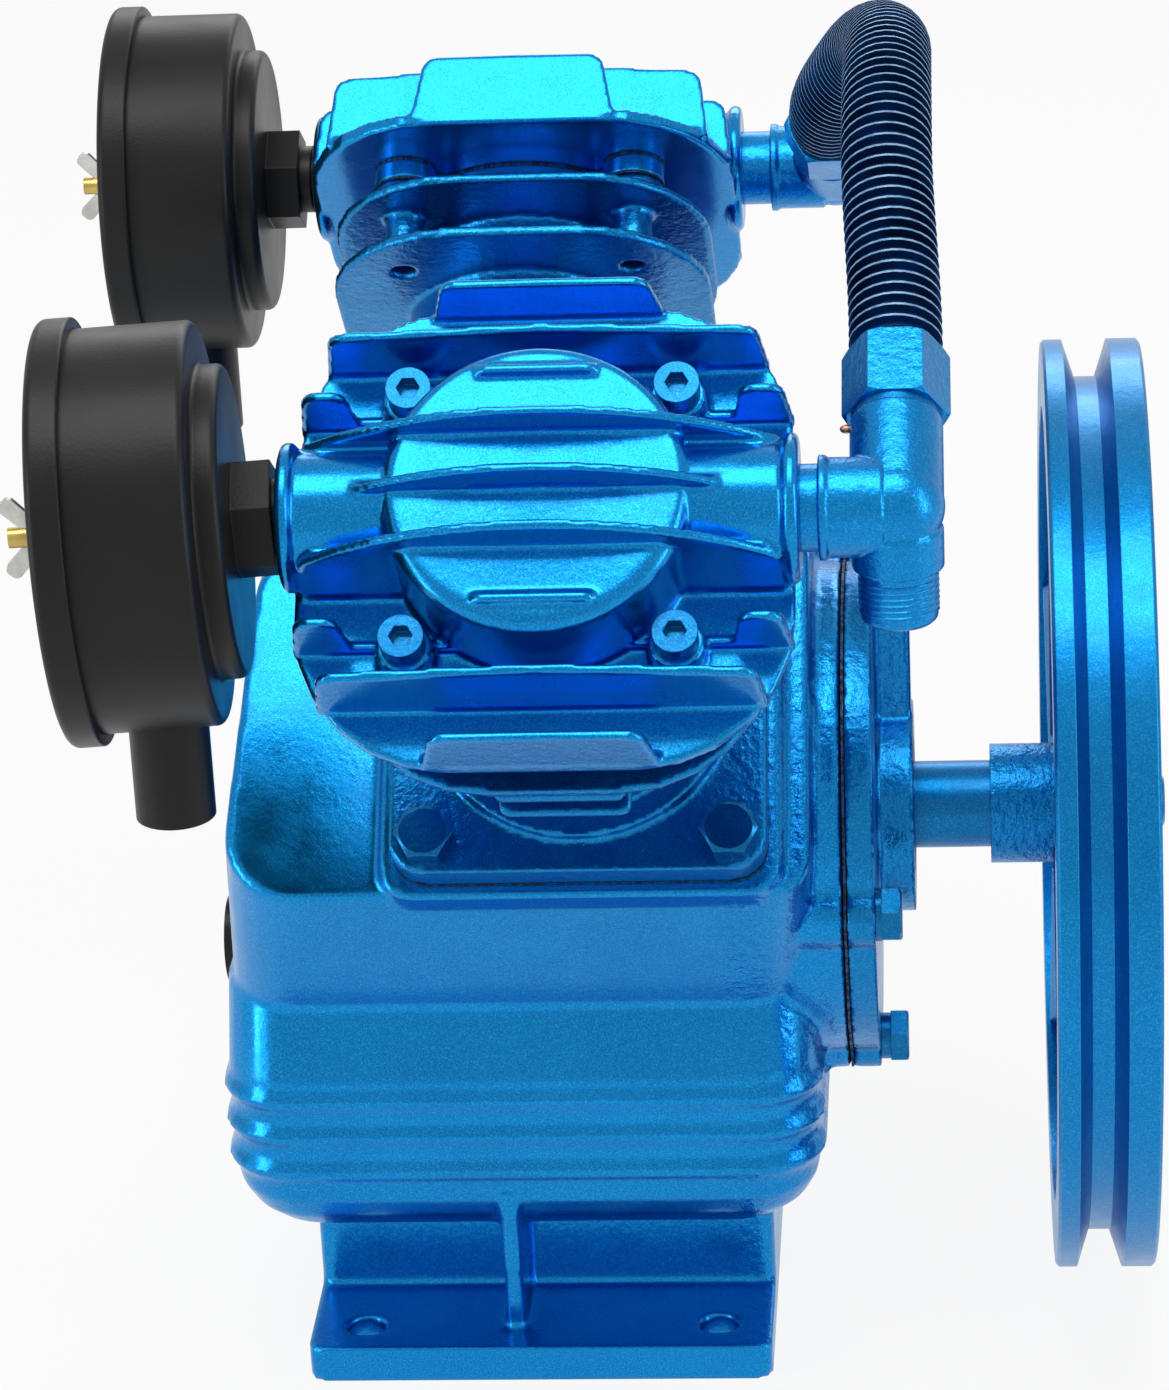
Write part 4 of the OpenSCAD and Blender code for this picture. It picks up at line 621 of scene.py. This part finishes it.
def tube_point(s):
    """The point on the tube's centre line, s metres from the tee."""
    turned = max(-RISE, min(RISE, (s - STRAIGHT) / BEND_R - RISE))
    past = min(0.0, s - STRAIGHT) + max(0.0, s - STRAIGHT - BEND_LEN)
    return Vector((
        X_FRONT + (X_REAR - X_FRONT) * shift(s / TUBE_LEN),
        BEND_R * math.sin(turned) + past * math.cos(turned),
        CENTRE_H + BEND_R * math.cos(turned) - past * math.sin(turned),
    ))


def tube_frame(s):
    """The matrix that stands a piece, made round Z at the origin, on the route at s."""
    along = (tube_point(s + MM) - tube_point(s - MM)).normalized()
    side = along.cross(Vector((1, 0, 0))).normalized()
    turn = Matrix((side, along.cross(side), along)).transposed().to_4x4()
    return Matrix.Translation(tube_point(s)) @ turn


print("tube length", round(TUBE_LEN / MM), "mm")

# %% [markdown]
# The tube itself is a circle swept along the route: one ring of edges is extruded from
# station to station, out over the outside and back along the bore, until it meets its own
# start. A bevelled curve would give the outside only. Extruding in edit mode and moving
# each new ring into place is how it would be done by hand, and the bore stays open.

# %% Sweep the tube
TUBE_R = 9.5 * MM
TUBE_BORE_R = 7.6 * MM
ROOT_R = 10.8 * MM
NUT_NEAR = 29 * MM
NUT_LEN = 25 * MM
RING_T_SHARE = 0.086
NUT_CLEAR_SHARE = 1.1
FACE_GAP = 0.1 * MM
ROOT_STEP = 0.2 * MM
TUBE_IN = NUT_NEAR + NUT_NEAR * RING_T_SHARE + FACE_GAP
FINS_FROM = NUT_NEAR + NUT_LEN * NUT_CLEAR_SHARE
BEND_STEPS = 90
TUBE_SIDES = 32


def swept_ring(name, stations, sides):
    """A skin through rings given as (distance along the route, radius) pairs."""
    bpy.ops.object.select_all(action="DESELECT")
    bpy.ops.mesh.primitive_circle_add(vertices=sides, radius=1.0)
    piece = bpy.context.object
    piece.name = name
    bpy.ops.object.mode_set(mode="EDIT")
    bpy.ops.mesh.select_mode(type="EDGE")
    bpy.ops.mesh.select_all(action="SELECT")
    for _ in stations[1:]:
        bpy.ops.mesh.extrude_region_move()
    bpy.ops.object.mode_set(mode="OBJECT")
    for i, (s, radius) in enumerate(stations):
        stand = tube_frame(s)
        for vert in piece.data.vertices[i * sides:(i + 1) * sides]:
            vert.co = stand @ (vert.co * radius)
    return piece


finned_len = TUBE_LEN - 2 * FINS_FROM
outer = [(TUBE_IN, TUBE_R), (FINS_FROM, TUBE_R), (FINS_FROM + ROOT_STEP, ROOT_R)]
outer += [(FINS_FROM + finned_len / BEND_STEPS * i, ROOT_R) for i in range(1, BEND_STEPS)]
outer += [(TUBE_LEN - FINS_FROM - ROOT_STEP, ROOT_R), (TUBE_LEN - FINS_FROM, TUBE_R),
          (TUBE_LEN - TUBE_IN, TUBE_R)]
inner = [(s, TUBE_BORE_R) for s, _ in reversed(outer)]
tube = swept_ring("tube_wall", outer + inner + outer[:1], TUBE_SIDES)
only(tube)
bpy.ops.object.mode_set(mode="EDIT")
bpy.ops.mesh.select_all(action="SELECT")
bpy.ops.mesh.remove_doubles(threshold=MERGE_GAP)
bpy.ops.mesh.normals_make_consistent(inside=False)
bpy.ops.object.mode_set(mode="OBJECT")
bpy.ops.object.shade_smooth_by_angle(angle=SMOOTH_ANGLE)
tube.data.materials.append(FINISHES["tube_navy"])
settle(tube, "finned_tube")
print(tube.name, len(tube.data.polygons), "faces")

# %% [markdown]
# A fin is a thin washer pressed on to the tube. One is modelled round the origin: the two
# faces of a flat cylinder are inset down to the tube and their middles are deleted, and
# the rim gets the finish with the painted highlight. It is then copied along the route,
# each copy with a mesh of its own, and the lot is joined into one piece. An Array and a
# Curve modifier would be shorter, but they would thicken each fin on the outside of the bend.

# %% The fins
FIN_R = 13.6 * MM
FIN_T = 0.7 * MM
FIN_PITCH = 4 * MM
FIN_SUNK = 0.2 * MM
FIN_SIDES = 28
FACING = 0.5
bpy.ops.object.select_all(action="DESELECT")
bpy.ops.mesh.primitive_cylinder_add(
    vertices=FIN_SIDES, radius=FIN_R, depth=FIN_T, end_fill_type="NGON")
fin = bpy.context.object
bpy.ops.object.mode_set(mode="EDIT")
bpy.ops.mesh.select_mode(type="FACE")
bpy.ops.mesh.select_all(action="DESELECT")
bpy.ops.object.mode_set(mode="OBJECT")
for face in fin.data.polygons:
    face.select = abs(face.normal.z) > FACING
bpy.ops.object.mode_set(mode="EDIT")
bpy.ops.mesh.inset(thickness=FIN_R - ROOT_R + FIN_SUNK)
bpy.ops.mesh.delete(type="FACE")
bpy.ops.object.mode_set(mode="OBJECT")
fin.data.materials.append(FINISHES["tube_navy"])
fin.data.materials.append(fin_highlight_finish)
for face in fin.data.polygons:
    face.material_index = 1 if abs(face.normal.z) < FACING else 0

fin_count = math.floor(finned_len / FIN_PITCH)
true_pitch = finned_len / fin_count
fins = []
for i in range(fin_count):
    one = bpy.data.objects.new(f"fin_{i}", fin.data.copy())
    bpy.context.collection.objects.link(one)
    one.data.transform(tube_frame(FINS_FROM + (i + 0.5) * true_pitch))
    fins.append(one)
bpy.data.objects.remove(fin)
only(fins[0])
for one in fins:
    one.select_set(True)
bpy.ops.object.join()
tube_fins = bpy.context.object
tube_fins.name = "tube_fins"
bpy.ops.object.shade_smooth_by_angle(angle=SMOOTH_ANGLE)
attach(tube_fins, BODY_OF["finned_tube"])
print(fin_count, "fins,", len(tube_fins.data.polygons), "faces")

# %% [markdown]
# Below the tee hangs the male thread that the pump delivers its air through. A thread is
# a small ridge wound round a cylinder. Bumps in a material would give it the look from the
# front but a smooth outline, so it is a mesh: a square stood on its corner and half sunk
# in the solid, which the Screw modifier winds down the outlet.

# %% The outlet thread
TEE_CENTRE = Vector((X_FRONT, -PORT_OUT, PORT_HEIGHT))
THREAD_R = 11.2 * MM
THREAD_PITCH = 1.8 * MM
THREAD_SUNK = 0.45 * MM
THREAD_TOP = 19.0 * MM
THREAD_END = 33.0 * MM
THREAD_STEPS = 32
RIDGE_SHARE = 0.49
TURNS = math.floor((THREAD_END - THREAD_TOP) / THREAD_PITCH) - 1
bpy.ops.object.select_all(action="DESELECT")
bpy.ops.mesh.primitive_circle_add(
    vertices=4, radius=RIDGE_SHARE * THREAD_PITCH, fill_type="NOTHING")
thread = bpy.context.object
thread.name = "outlet_thread"
bpy.ops.object.mode_set(mode="EDIT")
bpy.ops.mesh.select_mode(type="VERT")
bpy.ops.mesh.select_all(action="SELECT")
bpy.ops.transform.rotate(value=math.radians(90), orient_axis="X", center_override=(0, 0, 0))
bpy.ops.transform.translate(value=(THREAD_R - THREAD_SUNK, 0, 0))
bpy.ops.object.mode_set(mode="OBJECT")
wound = thread.modifiers.new("wound", "SCREW")
wound.axis = "Z"
wound.angle = math.radians(360)
wound.screw_offset = THREAD_PITCH
wound.iterations = TURNS
wound.steps = THREAD_STEPS
wound.render_steps = THREAD_STEPS
bpy.ops.object.modifier_apply(modifier="wound")
lowest_turn = Vector((0, 0, THREAD_PITCH - THREAD_END))
thread.data.transform(Matrix.Translation(TEE_CENTRE + lowest_turn))
bpy.ops.object.mode_set(mode="EDIT")
bpy.ops.mesh.select_all(action="SELECT")
bpy.ops.mesh.normals_make_consistent(inside=False)
bpy.ops.object.mode_set(mode="OBJECT")
bpy.ops.object.shade_smooth_by_angle(angle=SMOOTH_ANGLE)
thread.data.materials.append(FINISHES["fitting_blue"])
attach(thread, BODY_OF["discharge_tee"])
print(thread.name, TURNS, "turns")

# %% [markdown]
# Where the copper sealing ring was crushed, a little copper was squeezed out beside the
# nut and stayed bare: one warm dot on a blue machine. A dot painted on the nut would look
# flat in the highlight, so it is a small ball, drawn out sideways, flattened, and half
# sunk between nut and fitting.

# %% The copper bead
BEAD_R = 1.5 * MM
BEAD_SIDE = -14.2 * MM
BEAD_ALONG_SHARE = 0.96
BEAD_STRETCH = (1.25, 0.95, 0.85)
tube_direction = Vector((0, math.cos(RISE), math.sin(RISE)))
bead_at = TEE_CENTRE + tube_direction * NUT_NEAR * BEAD_ALONG_SHARE + Vector((BEAD_SIDE, 0, 0))
bpy.ops.object.select_all(action="DESELECT")
bpy.ops.mesh.primitive_uv_sphere_add(segments=24, ring_count=14, radius=BEAD_R)
bead = bpy.context.object
bead.name = "copper_bead"
bpy.ops.object.mode_set(mode="EDIT")
bpy.ops.transform.resize(value=BEAD_STRETCH, center_override=(0, 0, 0))
bpy.ops.transform.translate(value=bead_at)
bpy.ops.object.mode_set(mode="OBJECT")
bpy.ops.object.shade_smooth()
bead.data.materials.append(FINISHES["copper_ring"])
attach(bead, BODY_OF["tube_ferrules"])
print(bead.name, "at", [round(v / MM) for v in bead_at])

# %% [markdown]
# The pump stands on a plain pale floor against white. More light would make the floor
# white, but it would also wash out the enamel. So the Light Path node asks which ray looks:
# the camera sees a nearly white glow, rays through glass see it too, and mirror-like
# surfaces see a weaker one, about as bright as a studio wall. All other rays meet the real
# floor, which keeps the pump's soft shadow.

# %% Floor
FLOOR_DROP = 0.2 * MM
FLOOR_SIZE = 14
FLOOR_PATCH = 0.4
FLOOR_SEEN_SHARE = 0.9
FLOOR_GLOSSY_SHARE = 0.7
bpy.ops.object.select_all(action="DESELECT")
bpy.ops.mesh.primitive_plane_add(size=FLOOR_SIZE, location=(0, 0, -FLOOR_DROP))
floor = bpy.context.object
floor.name = "floor"
pale = Finish("pale_floor")
clouds = pale.spread(pale.noise(FLOOR_PATCH), *HARD_STEP)
pale.set(Base_Color=pale.mix(clouds, grey(0.86), grey(0.88)), Roughness=0.9)
glow = pale.add("ShaderNodeEmission", Color=grey(1.0), Strength=1.0)
seen = pale.add("ShaderNodeLightPath")
direct = pale.maths("ADD", seen.outputs["Is Camera Ray"], seen.outputs["Is Transmission Ray"])
shown = pale.maths("MULTIPLY", direct, FLOOR_SEEN_SHARE)
mirrored = pale.maths("MULTIPLY", seen.outputs["Is Glossy Ray"], FLOOR_GLOSSY_SHARE)
both = pale.add("ShaderNodeMixShader", Fac=pale.maths("ADD", shown, mirrored))
pale.link(pale.shader.outputs[0], both.inputs[1])
pale.link(glow.outputs[0], both.inputs[2])
pale.link(both.outputs[0], pale.tree.nodes["Material Output"].inputs["Surface"])
floor.data.materials.append(pale.material)
print("floor", FLOOR_SIZE, "m wide")

# %% [markdown]
# The world does the same above the horizon. Its real light is low and even, so that the
# lamps shape the pump, while the camera and rays through glass see plain white, and glossy
# surfaces see a blend halfway between. One multiply-add node for each further kind of ray
# adds up the shares.

# %% World
WORLD_LEVEL = 0.32
WORLD_SHARES = (("Is Glossy Ray", 0.5), ("Is Transmission Ray", 1.0))
world = bpy.data.worlds.new("studio")
bpy.context.scene.world = world
world.use_nodes = True
tree = world.node_tree
plain = tree.nodes["Background"]
plain.inputs["Color"].default_value = grey(1.0)
plain.inputs["Strength"].default_value = WORLD_LEVEL
white = tree.nodes.new("ShaderNodeBackground")
white.inputs["Color"].default_value = grey(1.0)
white.inputs["Strength"].default_value = 1.0
path = tree.nodes.new("ShaderNodeLightPath")
white_share = path.outputs["Is Camera Ray"]
for ray, share in WORLD_SHARES:
    added = tree.nodes.new("ShaderNodeMath")
    added.operation = "MULTIPLY_ADD"
    tree.links.new(path.outputs[ray], added.inputs[0])
    added.inputs[1].default_value = share
    tree.links.new(white_share, added.inputs[2])
    white_share = added.outputs[0]
blend = tree.nodes.new("ShaderNodeMixShader")
tree.links.new(white_share, blend.inputs["Fac"])
tree.links.new(plain.outputs[0], blend.inputs[1])
tree.links.new(white.outputs[0], blend.inputs[2])
tree.links.new(blend.outputs[0], tree.nodes["World Output"].inputs["Surface"])
print("world level", WORLD_LEVEL)

# %% [markdown]
# One big soft box hangs over the pump, as in a product studio, so upper faces are bright
# and the undersides of the fins fall to navy. A narrow panel on each side draws the
# vertical edges, and one behind parts the rear bank from the white. Area lamps are used
# because a metallic paint shows the shape of its lamp: a point lamp would give it hard
# little dots.

# %% Lamps
LAMPS_AIM = Vector((0.02, 0.0, 0.22))


def panel(name, place, size, watts):
    """A flat lamp of this width and height, at this place, turned to the pump."""
    data = bpy.data.lights.new(name, "AREA")
    data.shape = "RECTANGLE"
    data.size, data.size_y = size
    data.energy = watts
    lamp = bpy.data.objects.new(name, data)
    bpy.context.collection.objects.link(lamp)
    lamp.location = place
    lamp.rotation_euler = (LAMPS_AIM - Vector(place)).to_track_quat("-Z", "Y").to_euler()
    return lamp


lamps = [
    panel("overhead", place=(0.0, -0.35, 1.55), size=(1.1, 0.7), watts=9),
    panel("left_panel", place=(-1.25, -0.75, 0.55), size=(0.35, 1.1), watts=5),
    panel("right_panel", place=(1.35, -0.55, 0.65), size=(0.3, 1.1), watts=4),
    panel("back_panel", place=(0.1, 1.5, 1.0), size=(1.2, 0.6), watts=5),
]
bpy.context.scene.view_settings.view_transform = "Standard"
print("panels lit:", len(lamps))

# %% [markdown]
# The camera stands where the photographer stood: in front, a little to the right, and
# about 23 degrees above level, with a long lens from a metre and a half away. Its place
# and its turn were found from points of the pump that the photograph shows. A Track To
# constraint would keep the camera upright, and this one leans sideways by nearly three
# degrees, so its three angles are given.

# %% Camera
CAMERA_PLACE = Vector((141.106, -1455.834, 812.449)) * MM
CAMERA_TURN = (67.2522, 2.6340, 3.7606)
LENS = 126.52
camera_data = bpy.data.cameras.new("camera")
camera_data.sensor_width = 36.0
camera_data.lens = LENS
camera_data.clip_start = 0.05
camera_data.clip_end = 50
camera = bpy.data.objects.new("camera", camera_data)
bpy.context.collection.objects.link(camera)
camera_turn = Euler([math.radians(angle) for angle in CAMERA_TURN]).to_matrix().to_4x4()
camera.matrix_world = Matrix.Translation(CAMERA_PLACE) @ camera_turn
bpy.context.scene.camera = camera
print("lens", round(camera_data.lens, 1), "mm")
